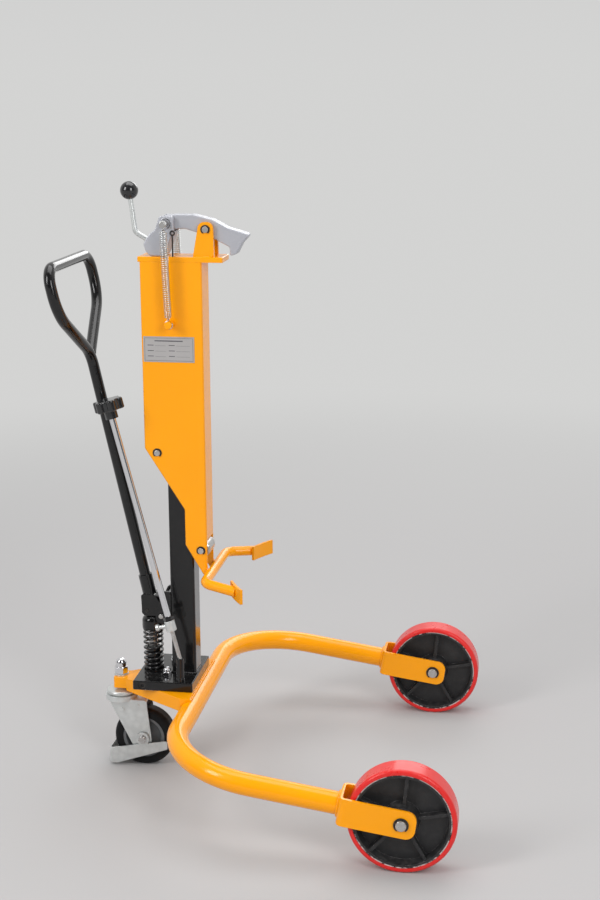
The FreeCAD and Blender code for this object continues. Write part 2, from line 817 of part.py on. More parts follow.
def lever_pivot_pin():
    end = lug_half + side_gap + cheek_t + 5
    pin = turned([(0, -end, 0), (lever_pin_r, -end, 1), (lever_pin_r, end, 1), (0, end, 0)])
    return moved(pin, lever_x, 0, lever_z)


def lever_socket():
    low = press_z - lug_r
    top = shaft_axis(lever_z + 42)
    body = side_plate([(press_x - lug_r, low, 9), (press_x - lug_r, press_z + 7, 9),
                       (top.x - socket_r, top.z, 5),
                       (top.x + socket_r, top.z, 3), (lever_x + 7, lever_z + 8, 6),
                       (lever_x - 12, low, 2)], -lug_half, lug_half)
    knuckle = crosswise(knuckle_r, lever_x, lever_z, -lug_half, lug_half)
    sleeve = rod(socket_r, shaft_axis(socket_low_z), shaft_axis(socket_top_z))
    socket = body.fuse(knuckle).fuse(sleeve)
    socket = socket.cut(rod(shaft_r, shaft_axis(shaft_root_z), shaft_axis(socket_top_z + 1)))
    socket = socket.cut(crosswise(press_r + 1.5, press_x, press_z, -press_half - 0.5,
                                  press_half + 0.5))
    socket = socket.cut(crosswise(press_pin_r, press_x, press_z, -lug_half - 1, lug_half + 1))
    socket = socket.cut(crosswise(lever_pin_r + fit, lever_x, lever_z, -lug_half - 1, lug_half + 1))
    return socket.removeSplitter()


def press_pin():
    return crosswise(press_pin_r, press_x, press_z, -lug_half - 1, lug_half + 1)


def pressure_roller():
    roller = turned([(press_pin_r + fit, -press_half, 0.5), (press_r, -press_half, 1.5),
                     (press_r, press_half, 1.5), (press_pin_r + fit, press_half, 0.5)])
    return moved(roller, press_x, 0, press_z)


def handle_run(radius):
    """The shaft, its near arm and half of the grip, and the other half welded back on."""
    join = shaft_axis(loop_join_z)
    shoulder = shaft_axis(loop_shoulder_z)
    grip = shaft_axis(loop_grip_z)
    middle = Vector(grip.x, 0, grip.z)
    arms = []
    for side in (-1, 1):
        away = Vector(0, side * loop_half, 0)
        arms.append([(shoulder + away, loop_shoulder_r), (grip + away, loop_corner_r), (middle, 0)])
    first = [(shaft_axis(shaft_root_z), 0), (join, loop_join_r)] + arms[0]
    second = [(join, 0)] + arms[1]
    return bent_rod(first, radius).fuse(bent_rod(second, radius))


def handle_tube():
    return handle_run(shaft_r).cut(handle_run(shaft_r - shaft_wall)).removeSplitter()


# ------------------------------------------------------------------ pump
def pump_barrel():
    bore = plunger_r + fit
    barrel = upturned([(bore, block_top, 0), (pump_barrel_r + 1.5, block_top, 0),
                       (pump_barrel_r + 1.5, block_top + 5, 0), (pump_barrel_r, block_top + 5, 0),
                       (pump_barrel_r, block_top + pump_barrel_h, 1.5),
                       (bore, block_top + pump_barrel_h, 1)])
    return moved(barrel, plunger_x)


def pump_plunger():
    return upright(plunger_r, plunger_x, 0, block_top + pump_barrel_h - plunger_in,
                   cap_top - cap_h + 12)


def spring_cap():
    low = cap_top - cap_h
    cap = upturned([(0, low, 0), (cap_r, low, 1), (cap_r, cap_top, cap_round), (0, cap_top, 0)])
    return moved(cap, plunger_x).cut(pump_plunger())


def return_spring():
    low = block_top + return_wire_r
    high = cap_top - cap_h - return_wire_r - near
    pitch = (high - low) / return_turns
    helix = Part.makeHelix(pitch, high - low, return_coil_r)
    section = Part.Wire(Part.makeCircle(return_wire_r, Vector(return_coil_r, 0, 0), Vector(0, 1, 0)))
    coil = Part.Wire(helix.Edges).makePipeShell([section], True, True)
    return moved(coil, plunger_x, 0, low)


# ------------------------------------------------------------------ release rod
def on_release_axis(shape):
    result = shape.copy()
    result.rotate(Vector(0, 0, 0), Vector(0, 1, 0), -release_lean_deg)
    result.translate(Vector(release_x, release_y, release_z))
    return result


def valve_housing():
    body = upturned([(0, block_top, 0), (housing_r + 1, block_top, 0), (housing_r + 1, block_top + 6, 1),
                     (housing_r, block_top + 6, 0), (housing_r, release_z + housing_over, 1.5),
                     (0, release_z + housing_over, 0)])
    body = moved(body, release_x, release_y)
    seat = Part.makeSphere(ball_end_r + near, Vector(release_x, release_y, release_z))
    mouth = Part.makeCone(ball_end_r, ball_end_r + 2, housing_over + 1,
                          Vector(release_x, release_y, release_z))
    return body.cut(seat).cut(mouth)


def valve_spindle():
    middle = collar_low + collar_h / 2
    stem = upright(spindle_r, 0, 0, 0, middle)
    return on_release_axis(stem.fuse(Part.makeSphere(ball_end_r)))


def rod_collar():
    middle = collar_low + collar_h / 2
    top = collar_low + collar_h
    collar = upright(collar_r, 0, 0, collar_low, top)
    collar = collar.makeChamfer(1, collar.Edges)
    collar = collar.cut(upright(spindle_r, 0, 0, collar_low - 1, middle))
    collar = collar.cut(upright(release_tube_r, 0, 0, middle, top + 1))
    shank = rod(collar_screw_r, Vector(-collar_r + 2, 0, middle),
                Vector(-collar_screw_len, 0, middle))
    collar = collar.cut(shank)
    head = rod(collar_head_r, Vector(-collar_screw_len, 0, middle),
               Vector(-collar_screw_len - collar_head_h, 0, middle))
    return on_release_axis(Part.makeCompound([collar, shank.fuse(head)]))


def release_rod():
    return on_release_axis(upright(release_tube_r, 0, 0, collar_low + collar_h / 2,
                                   knob_low + knob_h / 2))


def release_knob():
    top = knob_low + knob_h
    star = upright(knob_core_r, 0, 0, knob_low, top)
    lobe_mid = knob_r - knob_lobe_r
    for i in range(knob_lobes):
        angle = 2 * math.pi * i / knob_lobes
        star = star.fuse(upright(knob_lobe_r, lobe_mid * math.cos(angle), lobe_mid * math.sin(angle),
                                 knob_low, top))
    star = star.removeSplitter()
    rims = [e for e in star.Edges if e.BoundBox.ZLength < 1e-6]
    star = star.makeFillet(knob_round, rims)
    star = star.fuse(upright(knob_hub_r, 0, 0, knob_low - knob_hub_h, knob_low))
    star = star.cut(upright(release_tube_r, 0, 0, knob_low - knob_hub_h - 1, knob_low + knob_h / 2))
    return on_release_axis(star)


# ------------------------------------------------------------------ caster
def at_axle(shape):
    return moved(shape, caster_axle_x, 0, caster_r)


def caster_stem():
    foot = crown_top - crown_t
    stem = upturned([(0, foot - 4, 0), (stem_r + 4, foot - 4, 1.5), (stem_r + 4, foot - near, 0),
                     (stem_r, foot - near, 0), (stem_r, stem_dish_z, 0), (race_r - 3, stem_dish_z, 0),
                     (race_r, stem_dish_z + 3, 2), (race_r, bracket_bottom - 3, 5),
                     (neck_r, bracket_bottom, 3), (neck_r, bracket_bottom + nose_lift, 0),
                     (stem_r, bracket_bottom + nose_lift, 0),
                     (stem_r, stem_top, 1), (0, stem_top, 0)])
    return moved(stem, stem_x)


def stem_washer():
    return ring(washer_r, stem_r, Vector(stem_x, 0, block_bottom),
                Vector(stem_x, 0, block_bottom + washer_t))


def stem_dome_nut():
    low = block_bottom + washer_t
    nut = dome_head(nut_flats, nut_h, dome_r, dome_rise, low)
    return moved(nut, stem_x).cut(upright(stem_r, stem_x, 0, low - 1, stem_top))


def caster_fork():
    half = caster_plate_half
    low = caster_r - axle_drop
    crown_x0 = stem_x - crown_back
    crown_x1 = stem_x + crown_front
    outline = [(crown_x0, crown_top, 5), (crown_x1, crown_top, 5),
               (caster_axle_x + axle_boss_r, low, axle_boss_r - 2),
               (caster_axle_x - axle_boss_r, low, axle_boss_r - 2)]
    fork = side_plate(outline, -half, half)
    inside = half - caster_plate_t
    fork = fork.cut(box(crown_x0 - 1, caster_axle_x + axle_boss_r + 1, -inside, inside, 0,
                        crown_top - crown_t))
    fork = fork.fuse(upright(race_r + 2, stem_x, 0, crown_top, crown_top + lower_race_h))
    fork = fork.fuse(upright(race_r + 2, stem_x, 0, crown_top - crown_t, crown_top))
    fork = fork.cut(upright(stem_r + fit, stem_x, 0, crown_top - crown_t - 1,
                            crown_top + lower_race_h + 1))
    for x, z in ((stem_x + 6, crown_top - 22), (stem_x + 38, crown_top - 12)):
        rivet = crosswise(rivet_r, x, z, half - 1, half + rivet_h)
        fork = fork.fuse(rivet).fuse(mirrored(rivet))
    return fork.cut(crosswise(caster_axle_r, caster_axle_x, caster_r, -half - 1, half + 1))


def caster_axle_bolt():
    end = pedal_half + near
    bolt = crosswise(caster_axle_r, 0, 0, -end, end + 10)
    head = crosswise(8, 0, 0, -end - 5, -end)
    head = head.makeChamfer(1.5, [head.Edges[2]])
    nut = hexagon(19, 0, 8)
    nut.rotate(Vector(0, 0, 0), Vector(1, 0, 0), -90)
    nut = moved(nut, 0, end, 0).cut(crosswise(caster_axle_r, 0, 0, end - 1, end + 11))
    return at_axle(Part.makeCompound([bolt.fuse(head), nut]))


def caster_tyre():
    half = caster_w / 2
    return at_axle(turned([(caster_hub_r, -half, 0), (caster_r, -half, 10), (caster_r, half, 10),
                           (caster_hub_r, half, 0)]))


def caster_hub():
    half = caster_w / 2
    bore = caster_axle_r + fit
    hub_half = caster_plate_half - caster_plate_t - 0.5
    hub = turned([(bore, -hub_half, 0), (14, -hub_half, 1), (16, -8, 2), (34, -6, 2),
                  (38, -half + 1, 1), (caster_hub_r, -half + 1, 0), (caster_hub_r, half - 1, 0),
                  (38, half - 1, 1), (34, 6, 2), (16, 8, 2), (14, hub_half, 1), (bore, hub_half, 0)])
    return at_axle(hub)


def brake_pedal():
    half = pedal_half
    back = -pedal_back
    plan = plan_plate([(back, -half, pedal_bend_r), (pedal_front, -half, 0), (pedal_front, half, 0),
                       (back, half, pedal_bend_r)], -caster_r, caster_r)
    inner = half - pedal_t
    plan = plan.cut(plan_plate([(back + pedal_t, -inner, pedal_bend_r - pedal_t),
                                (pedal_front + 1, -inner, 0), (pedal_front + 1, inner, 0),
                                (back + pedal_t, inner, pedal_bend_r - pedal_t)],
                               -caster_r - 1, caster_r + 1))
    strip = side_plate([(back, -56, 3), (-55, -56, 8), (pedal_front, -20, 2), (pedal_front, -2, 4),
                        (back, -24, 4)], -half - 1, half + 1)
    strip = strip.fuse(crosswise(pedal_ear_r, 0, 0, -half - 1, half + 1))
    strip = plan.common(strip)
    return at_axle(strip.cut(crosswise(caster_axle_r + fit, 0, 0, -half - 1, half + 1)))


# ------------------------------------------------------------------ nodes
def all_nodes():
    upper_pin, upper_clips = clevis_pin(upper_roller_x, upper_roller_z, carriage_half)
    lower_pin, lower_clips = clevis_pin(lower_roller_x, lower_roller_z, carriage_half)
    arm_pin, arm_clips = clevis_pin(pivot_x, pivot_z, ear_inner + ear_t)
    nodes = {
        "frame_tube": frame_tube(),
        "caster_bracket": caster_bracket(),
        "pump_block": pump_block(),
        "block_screws": block_screws(),
        "port_plugs": port_plugs(),
        "mast_tube": mast_tube(),
        "cylinder_barrel": cylinder_barrel(),
        "cylinder_gland": cylinder_gland(),
        "piston_rod": piston_rod(),
        "carriage_channel": carriage_channel(),
        "top_plate": top_plate(),
        "clamp_ears": clamp_ears(),
        "stop_eye": stop_eye(),
        "pivot_pins": Part.makeCompound([upper_pin, lower_pin, arm_pin]),
        "pin_clips": Part.makeCompound([upper_clips, lower_clips, arm_clips]),
        "spring_studs": spring_studs(),
        "label_plate": label_plate(),
        "belly_bar": belly_bar(),
        "belly_pads": belly_pads(),
        "upper_roller": guide_roller(upper_roller_x, upper_roller_z),
        "lower_roller": guide_roller(lower_roller_x, lower_roller_z),
        "clamp_arm": clamp_arm(),
        "cam_pin": cam_pin(),
        "cam_lever": cam_lever(),
        "cam_lever_rod": cam_lever_rod(),
        "ball_knob": ball_knob(),
        "tension_springs": both_sides(tension_spring()),
        "lever_bracket": lever_bracket(),
        "lever_pivot_pin": lever_pivot_pin(),
        "lever_socket": lever_socket(),
        "press_pin": press_pin(),
        "pressure_roller": pressure_roller(),
        "handle_tube": handle_tube(),
        "pump_barrel": pump_barrel(),
        "pump_plunger": pump_plunger(),
        "spring_cap": spring_cap(),
        "return_spring": return_spring(),
        "valve_housing": valve_housing(),
        "valve_spindle": valve_spindle(),
        "rod_collar": rod_collar(),
        "release_rod": release_rod(),
        "release_knob": release_knob(),
        "caster_stem": caster_stem(),
        "stem_washer": stem_washer(),
        "stem_dome_nut": stem_dome_nut(),
        "caster_fork": caster_fork(),
        "caster_axle_bolt": caster_axle_bolt(),
        "caster_tyre": caster_tyre(),
        "caster_hub": caster_hub(),
        "brake_pedal": brake_pedal(),
    }
    for name, side in (("right", -1), ("left", 1)):
        nodes["wheel_fork_" + name] = on_frame_slope(wheel_fork(), side)
        nodes["tyre_" + name] = at_wheel(tyre(), side)
        nodes["wheel_core_" + name] = at_wheel(wheel_core(), side)
        nodes["wheel_bearings_" + name] = at_wheel(wheel_bearings(), side)
    nodes["wheel_axles"] = Part.makeCompound([at_wheel(wheel_axle(), s) for s in (-1, 1)])
    nodes["axle_clips"] = Part.makeCompound([at_wheel(axle_clips(), s) for s in (-1, 1)])
    return nodes


back_end = shaft_axis(loop_grip_z).x - shaft_r
front_end = axle_x + wheel_r
middle_x = (back_end + front_end) / 2

os.makedirs("parts", exist_ok=True)
for node, shape in all_nodes().items():
    moved(shape, -middle_x).exportStep(os.path.join("parts", node + ".step"))
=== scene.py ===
"""Looks of the hydraulic drum truck: paints and platings, springs, weld beads, label and studio.

Metres, in the truck's own frame: +X forward, +Y left, +Z up, and the floor at z = 0.
"""

import json
import math

import bpy
from mathutils import Matrix, Vector

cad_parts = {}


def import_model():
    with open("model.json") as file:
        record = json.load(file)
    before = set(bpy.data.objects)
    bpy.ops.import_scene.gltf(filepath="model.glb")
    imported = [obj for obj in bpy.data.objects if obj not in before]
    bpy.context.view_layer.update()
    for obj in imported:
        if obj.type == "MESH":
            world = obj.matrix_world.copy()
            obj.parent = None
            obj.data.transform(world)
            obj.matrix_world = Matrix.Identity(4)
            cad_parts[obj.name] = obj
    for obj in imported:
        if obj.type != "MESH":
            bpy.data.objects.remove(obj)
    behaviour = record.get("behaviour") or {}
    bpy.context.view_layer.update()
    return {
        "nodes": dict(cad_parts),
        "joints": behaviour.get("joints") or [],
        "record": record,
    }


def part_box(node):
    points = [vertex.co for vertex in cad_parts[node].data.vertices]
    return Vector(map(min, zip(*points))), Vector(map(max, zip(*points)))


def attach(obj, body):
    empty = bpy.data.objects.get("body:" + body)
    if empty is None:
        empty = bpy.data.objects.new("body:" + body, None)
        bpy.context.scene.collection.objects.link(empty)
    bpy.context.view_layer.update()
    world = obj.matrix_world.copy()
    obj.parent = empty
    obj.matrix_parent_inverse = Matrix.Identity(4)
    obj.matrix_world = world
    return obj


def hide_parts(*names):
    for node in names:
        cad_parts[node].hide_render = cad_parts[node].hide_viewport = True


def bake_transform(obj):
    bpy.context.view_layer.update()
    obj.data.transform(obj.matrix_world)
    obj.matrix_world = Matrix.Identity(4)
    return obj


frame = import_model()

# ------------------------------------------------------------------ sizes of the truck's pieces
TUBE_R = 0.021              # frame tube
FORK_BACK = 0.117           # from the axle back to the face that the tube is welded to
MAST_CORNER = 0.005
BELLY_BAR_R = 0.010
EAR_THICKNESS = 0.008
CHANNEL_WALL = 0.005
COLLAR_END = 0.084          # along the release rod, from the joint's point
FULL_TURN = 2 * math.pi

# ------------------------------------------------------------------ sizes of the added pieces
FORK_BEAD = 0.0030          # radii of the weld beads
BRACKET_BEAD = 0.0026
MAST_BEAD = 0.0028
CHEEK_BEAD = 0.0020
EAR_BEAD = 0.0020
BELLY_BEAD = 0.0018
BEAD_PITCH = 0.0036         # one ripple
BEAD_RIPPLE = 0.10          # share of the bead's radius
BEAD_STEP = 0.0009          # between the points of its path
BEAD_OFF = 0.0008           # bead's middle outside the faces of the tube and the pan

SPRING_Y = 0.052
TENSION_WIRE = 0.00112      # radii of the wires, and of the coils at the middle of the wire
TENSION_COIL = 0.007
TENSION_PITCH = 0.0039
TENSION_TAPER = 0.010       # length at each end over which the coil closes to its hook
STUD_RING = 0.0076          # hooks round the studs and round the cam pin
CAM_RING = 0.0063
RETURN_WIRE = 0.0025
RETURN_COIL = 0.0185
RETURN_TURNS = 9
RETURN_CLOSED = 0.09        # share of its turns that lie flat, over both ends
RETURN_EASE = 0.35          # how softly its pitch opens from them

SHADE_GAP_RING = 0.0088          # let into the faces of the cam's bosses; painted shade standing in for the shaded gap round them
SHADE_GAP_WIRE = 0.0008
SHADE_GAP_SWEEP = 250            # degrees

LOCK_NUT_FLATS = 0.019
LOCK_NUT_BORE = 0.0066      # radius
LOCK_NUT_H = 0.009
LOCK_NUT_CHAMFER = 0.0012
LOCK_NUT_EDGE = 0.90        # size of its end faces against its middle
LOCK_NUT_TURN = 12          # degrees
LOCK_NUT_GAP = 0.0002

LABEL_PROUD = 0.00012
LABEL_MARGIN = 0.0025
LABEL_LINE = 0.0006         # border
LABEL_INSET = 0.020         # title rule from the border
TITLE_H = 0.0022
FIELD_W = 0.012             # short bars ahead of the blank rules
FIELD_H = 0.0014
RULE_START = 0.015          # from the start of its bar
RULE_H = 0.0004


# ------------------------------------------------------------------ node tree helpers
def connect(tree, socket, value):
    """Links a socket to another, or sets its value."""
    if isinstance(value, bpy.types.NodeSocket):
        tree.links.new(value, socket)
    elif value is not None:
        socket.default_value = value


def add(tree, kind, settings=None, **values):
    """Adds a node, with its settings and its inputs by name."""
    node = tree.nodes.new(kind)
    for key, value in (settings or {}).items():
        setattr(node, key, value)
    for key, value in values.items():
        connect(tree, node.inputs[key.replace("_", " ")], value)
    return node


def arithmetic(tree, operation, first, second=None, clamp=False):
    node = add(tree, "ShaderNodeMath", {"operation": operation, "use_clamp": clamp})
    connect(tree, node.inputs[0], first)
    connect(tree, node.inputs[1], second)
    return node.outputs[0]


def noise(tree, place, scale, detail=3.0, roughness=0.5):
    node = add(tree, "ShaderNodeTexNoise", Vector=place, Scale=scale, Detail=detail,
               Roughness=roughness)
    return node.outputs["Fac"]


def spread(tree, value, low, high, to_low, to_high, smooth=False):
    """Maps a value from one range to another, held at both ends."""
    style = "SMOOTHSTEP" if smooth else "LINEAR"
    node = add(tree, "ShaderNodeMapRange", {"interpolation_type": style})
    for index, number in enumerate((value, low, high, to_low, to_high)):
        connect(tree, node.inputs[index], number)
    return node.outputs[0]


def blend_colours(tree, share, first, second):
    node = add(tree, "ShaderNodeMix", {"data_type": "RGBA"})
    connect(tree, node.inputs[0], share)
    connect(tree, node.inputs[6], first)
    connect(tree, node.inputs[7], second)
    return node.outputs[2]


def new_group(name, inputs, outputs):
    """A shader group with named inputs and outputs; returns it with both ends' sockets."""
    tree = bpy.data.node_groups.new(name, "ShaderNodeTree")
    for label, kind, default in inputs:
        socket = tree.interface.new_socket(name=label, in_out="INPUT", socket_type=kind)
        socket.default_value = default
    for label, kind in outputs:
        tree.interface.new_socket(name=label, in_out="OUTPUT", socket_type=kind)
    source = tree.nodes.new("NodeGroupInput")
    sink = tree.nodes.new("NodeGroupOutput")
    return tree, source.outputs, sink.inputs


COLOR = "NodeSocketColor"
FLOAT = "NodeSocketFloat"
VECTOR = "NodeSocketVector"
SKIN_OUTPUTS = [("Color", COLOR), ("Roughness", FLOAT), ("Normal", VECTOR)]


def painted_skin():
    """Sprayed or cast skin: slow tone changes, dust on what faces up, grain and soft edges."""
    tree, given, out = new_group("painted_skin", [
        ("Color", COLOR, (0.8, 0.8, 0.8, 1)), ("Dust Color", COLOR, (0.5, 0.48, 0.45, 1)),
        ("Dust", FLOAT, 0.04), ("Mottle", FLOAT, 0.03), ("Grain Scale", FLOAT, 400.0),
        ("Grain Detail", FLOAT, 1.0), ("Grain Height", FLOAT, 0.00002),
        ("Roughness", FLOAT, 0.3), ("Smudge", FLOAT, 0.1), ("Edge Radius", FLOAT, 0.0008),
    ], SKIN_OUTPUTS)
    place = add(tree, "ShaderNodeTexCoord").outputs["Object"]
    tone = noise(tree, place, 6.0, 3.0)
    value = spread(tree, tone, 0.25, 0.75, arithmetic(tree, "SUBTRACT", 1.0, given["Mottle"]),
                   arithmetic(tree, "ADD", 1.0, given["Mottle"]))
    toned = add(tree, "ShaderNodeHueSaturation", Value=value, Color=given["Color"])
    normal = add(tree, "ShaderNodeNewGeometry").outputs["Normal"]
    facing = add(tree, "ShaderNodeSeparateXYZ", Vector=normal)
    lying = spread(tree, facing.outputs["Z"], 0.2, 1.0, 0.25, 1.0, smooth=True)
    specks = spread(tree, noise(tree, place, 90.0, 6.0, 0.7), 0.42, 0.68, 0.0, 1.0, smooth=True)
    settled = arithmetic(tree, "MULTIPLY", lying, specks)
    dusty = arithmetic(tree, "MULTIPLY", settled, given["Dust"])
    connect(tree, out["Color"],
            blend_colours(tree, dusty, toned.outputs["Color"], given["Dust Color"]))
    wiped = spread(tree, noise(tree, place, 22.0, 5.0, 0.65), 0.3, 0.7, -0.5, 0.5)
    rough = arithmetic(tree, "MULTIPLY_ADD", wiped, given["Smudge"])
    connect(tree, rough.node.inputs[2], given["Roughness"])
    dust_rough = arithmetic(tree, "MULTIPLY", dusty, 0.6)
    connect(tree, out["Roughness"], arithmetic(tree, "ADD", rough, dust_rough, clamp=True))
    soft = add(tree, "ShaderNodeBevel", {"samples": 6}, Radius=given["Edge Radius"])
    grain = noise(tree, place, given["Grain Scale"], given["Grain Detail"])
    bump = add(tree, "ShaderNodeBump", Distance=given["Grain Height"], Height=grain,
               Normal=soft.outputs["Normal"])
    connect(tree, out["Normal"], bump.outputs["Normal"])
    return tree


def plated_skin():
    """Plated or bare metal: cloudy crystals, fine scratches, wiped roughness and soft edges."""
    tree, given, out = new_group("plated_skin", [
        ("Color", COLOR, (0.7, 0.7, 0.7, 1)), ("Cloud Color", COLOR, (0.55, 0.56, 0.55, 1)),
        ("Cloud Scale", FLOAT, 60.0), ("Cloud", FLOAT, 0.5), ("Roughness", FLOAT, 0.3),
        ("Smudge", FLOAT, 0.15), ("Scratch Height", FLOAT, 0.00001),
        ("Edge Radius", FLOAT, 0.0006),
    ], SKIN_OUTPUTS)
    place = add(tree, "ShaderNodeTexCoord").outputs["Object"]
    cells = add(tree, "ShaderNodeTexVoronoi", {"feature": "SMOOTH_F1"}, Vector=place,
                Scale=given["Cloud Scale"], Smoothness=0.4)
    haze = noise(tree, place, given["Cloud Scale"], 6.0, 0.65)
    cloud = arithmetic(tree, "MULTIPLY", cells.outputs["Distance"], haze)
    cloud = spread(tree, cloud, 0.08, 0.38, 0.0, 1.0)
    share = arithmetic(tree, "MULTIPLY", cloud, given["Cloud"])
    connect(tree, out["Color"], blend_colours(tree, share, given["Color"], given["Cloud Color"]))
    wiped = arithmetic(tree, "SUBTRACT", noise(tree, place, 35.0, 6.0, 0.7), 0.5)
    rough = arithmetic(tree, "MULTIPLY_ADD", wiped, given["Smudge"])
    connect(tree, rough.node.inputs[2], given["Roughness"])
    cloud_rough = arithmetic(tree, "MULTIPLY", share, 0.15)
    connect(tree, out["Roughness"], arithmetic(tree, "ADD", rough, cloud_rough, clamp=True))
    drawn = add(tree, "ShaderNodeMapping", Vector=place, Scale=(60, 900, 60))
    soft = add(tree, "ShaderNodeBevel", {"samples": 6}, Radius=given["Edge Radius"])
    scratches = noise(tree, drawn.outputs["Vector"], 4.0, 3.0)
    bump = add(tree, "ShaderNodeBump", Distance=given["Scratch Height"], Height=scratches,
               Normal=soft.outputs["Normal"])
    connect(tree, out["Normal"], bump.outputs["Normal"])
    return tree


def edge_wear():
    """A broken mask along sharp edges, where paint is rubbed through."""
    tree, given, out = new_group("edge_wear", [
        ("Radius", FLOAT, 0.0012), ("Breakup Scale", FLOAT, 120.0), ("Amount", FLOAT, 0.5),
    ], [("Mask", FLOAT)])
    place = add(tree, "ShaderNodeTexCoord").outputs["Object"]
    soft = add(tree, "ShaderNodeBevel", {"samples": 6}, Radius=given["Radius"])
    flat = add(tree, "ShaderNodeNewGeometry").outputs["Normal"]
    turn = add(tree, "ShaderNodeVectorMath", {"operation": "DOT_PRODUCT"})
    connect(tree, turn.inputs[0], soft.outputs["Normal"])
    connect(tree, turn.inputs[1], flat)
    edge = spread(tree, turn.outputs["Value"], 0.985, 0.86, 0.0, 1.0)
    flakes = noise(tree, place, given["Breakup Scale"], 6.0, 0.7)
    broken = spread(tree, flakes, 0.5, 0.62, 0.0, 1.0)
    share = arithmetic(tree, "MULTIPLY", edge, broken)
    connect(tree, out["Mask"], arithmetic(tree, "MULTIPLY", share, given["Amount"], clamp=True))
    return tree


SKINS = {"painted": painted_skin(), "plated": plated_skin()}
EDGE_WEAR = edge_wear()


# ------------------------------------------------------------------ materials
def skin_material(name, skin, looks, metallic=0.0, coat=0.0, coat_roughness=0.05, coat_ior=1.5,
                  shine=0.5, wear=0.0, wear_color=(0.45, 0.44, 0.42), wear_metallic=1.0):
    """A Principled material fed by one of the skins, with worn edges on top."""
    material = bpy.data.materials.new(name)
    material.use_nodes = True
    tree = material.node_tree
    surface = tree.nodes["Principled BSDF"]
    group = add(tree, "ShaderNodeGroup", {"node_tree": SKINS[skin]})
    for label, value in looks.items():
        full = tuple(value) + (1.0,) if isinstance(value, tuple) else value
        group.inputs[label].default_value = full
    color = group.outputs["Color"]
    surface.inputs["Metallic"].default_value = metallic
    surface.inputs["Coat Weight"].default_value = coat
    surface.inputs["Coat Roughness"].default_value = coat_roughness
    surface.inputs["Coat IOR"].default_value = coat_ior
    surface.inputs["Specular IOR Level"].default_value = shine
    if wear:
        mask = add(tree, "ShaderNodeGroup", {"node_tree": EDGE_WEAR}, Amount=wear).outputs["Mask"]
        color = blend_colours(tree, mask, color, (*wear_color, 1.0))
        bare = spread(tree, mask, 0.0, 1.0, metallic, wear_metallic)
        connect(tree, surface.inputs["Metallic"], bare)
    connect(tree, surface.inputs["Base Color"], color)
    connect(tree, surface.inputs["Roughness"], group.outputs["Roughness"])
    connect(tree, surface.inputs["Normal"], group.outputs["Normal"])
    return material


def yellow_enamel():
    return skin_material("yellow_enamel", "painted", {
        "Color": (0.97, 0.362, 0.0), "Dust Color": (0.60, 0.34, 0.10), "Dust": 0.05,
        "Mottle": 0.035, "Grain Scale": 330.0, "Grain Height": 0.00001, "Grain Detail": 1.0,
        "Roughness": 0.22, "Smudge": 0.10, "Edge Radius": 0.0018,
    }, coat=0.45, coat_roughness=0.03, coat_ior=1.3, shine=0.26, wear=0.25,
        wear_color=(0.40, 0.13, 0.015), wear_metallic=0.0)


def black_enamel():
    return skin_material("black_enamel", "painted", {
        "Color": (0.006, 0.006, 0.0065), "Dust Color": (0.16, 0.15, 0.14), "Dust": 0.10,
        "Mottle": 0.15, "Grain Scale": 360.0, "Grain Height": 0.00001, "Grain Detail": 1.0,
        "Roughness": 0.18, "Smudge": 0.12, "Edge Radius": 0.0014,
    }, coat=0.8, coat_roughness=0.03, coat_ior=1.3, shine=0.3, wear=0.30,
        wear_color=(0.16, 0.16, 0.16))


def silver_cast_paint():
    return skin_material("silver_cast_paint", "painted", {
        "Color": (0.47, 0.48, 0.52), "Dust Color": (0.42, 0.40, 0.37), "Dust": 0.22,
        "Mottle": 0.06, "Grain Scale": 210.0, "Grain Height": 0.00028, "Grain Detail": 4.0,
        "Roughness": 0.40, "Smudge": 0.16, "Edge Radius": 0.0022,
    }, metallic=0.35, wear=0.5, wear_color=(0.62, 0.62, 0.63))


def zinc_plate():
    return skin_material("zinc_plate", "plated", {
        "Color": (0.76, 0.78, 0.77), "Cloud Color": (0.58, 0.60, 0.59), "Cloud Scale": 75.0,
        "Cloud": 0.55, "Roughness": 0.34, "Smudge": 0.22, "Scratch Height": 0.00003,
        "Edge Radius": 0.0008,
    }, metallic=0.78)


def bright_plate():
    return skin_material("bright_plate", "plated", {
        "Color": (0.78, 0.78, 0.80), "Cloud Color": (0.60, 0.60, 0.62), "Cloud Scale": 30.0,
        "Cloud": 0.2, "Roughness": 0.10, "Smudge": 0.08, "Scratch Height": 0.000006,
        "Edge Radius": 0.0006,
    }, metallic=1.0)


def spring_wire():
    return skin_material("spring_wire", "plated", {
        "Color": (0.74, 0.75, 0.74), "Cloud Color": (0.55, 0.56, 0.54), "Cloud Scale": 160.0,
        "Cloud": 0.3, "Roughness": 0.20, "Smudge": 0.1, "Scratch Height": 0.00001,
        "Edge Radius": 0.0002,
    }, metallic=1.0)


def turned_steel():
    return skin_material("turned_steel", "plated", {
        "Color": (0.62, 0.61, 0.60), "Cloud Color": (0.42, 0.41, 0.39), "Cloud Scale": 140.0,
        "Cloud": 0.35, "Roughness": 0.28, "Smudge": 0.18, "Scratch Height": 0.00005,
        "Edge Radius": 0.0005,
    }, metallic=0.95)


def blackened_steel():
    return skin_material("blackened_steel", "plated", {
        "Color": (0.035, 0.033, 0.032), "Cloud Color": (0.09, 0.085, 0.08), "Cloud Scale": 220.0,
        "Cloud": 0.6, "Roughness": 0.38, "Smudge": 0.2, "Scratch Height": 0.00002,
        "Edge Radius": 0.0003,
    }, metallic=0.7)


def red_urethane():
    return skin_material("red_urethane", "painted", {
        "Color": (0.70, 0.020, 0.018), "Dust Color": (0.52, 0.20, 0.17), "Dust": 0.14,
        "Mottle": 0.05, "Grain Scale": 520.0, "Grain Height": 0.00003, "Grain Detail": 3.0,
        "Roughness": 0.30, "Smudge": 0.18, "Edge Radius": 0.0015,
    }, coat=0.3, coat_roughness=0.12, coat_ior=1.3, shine=0.35)


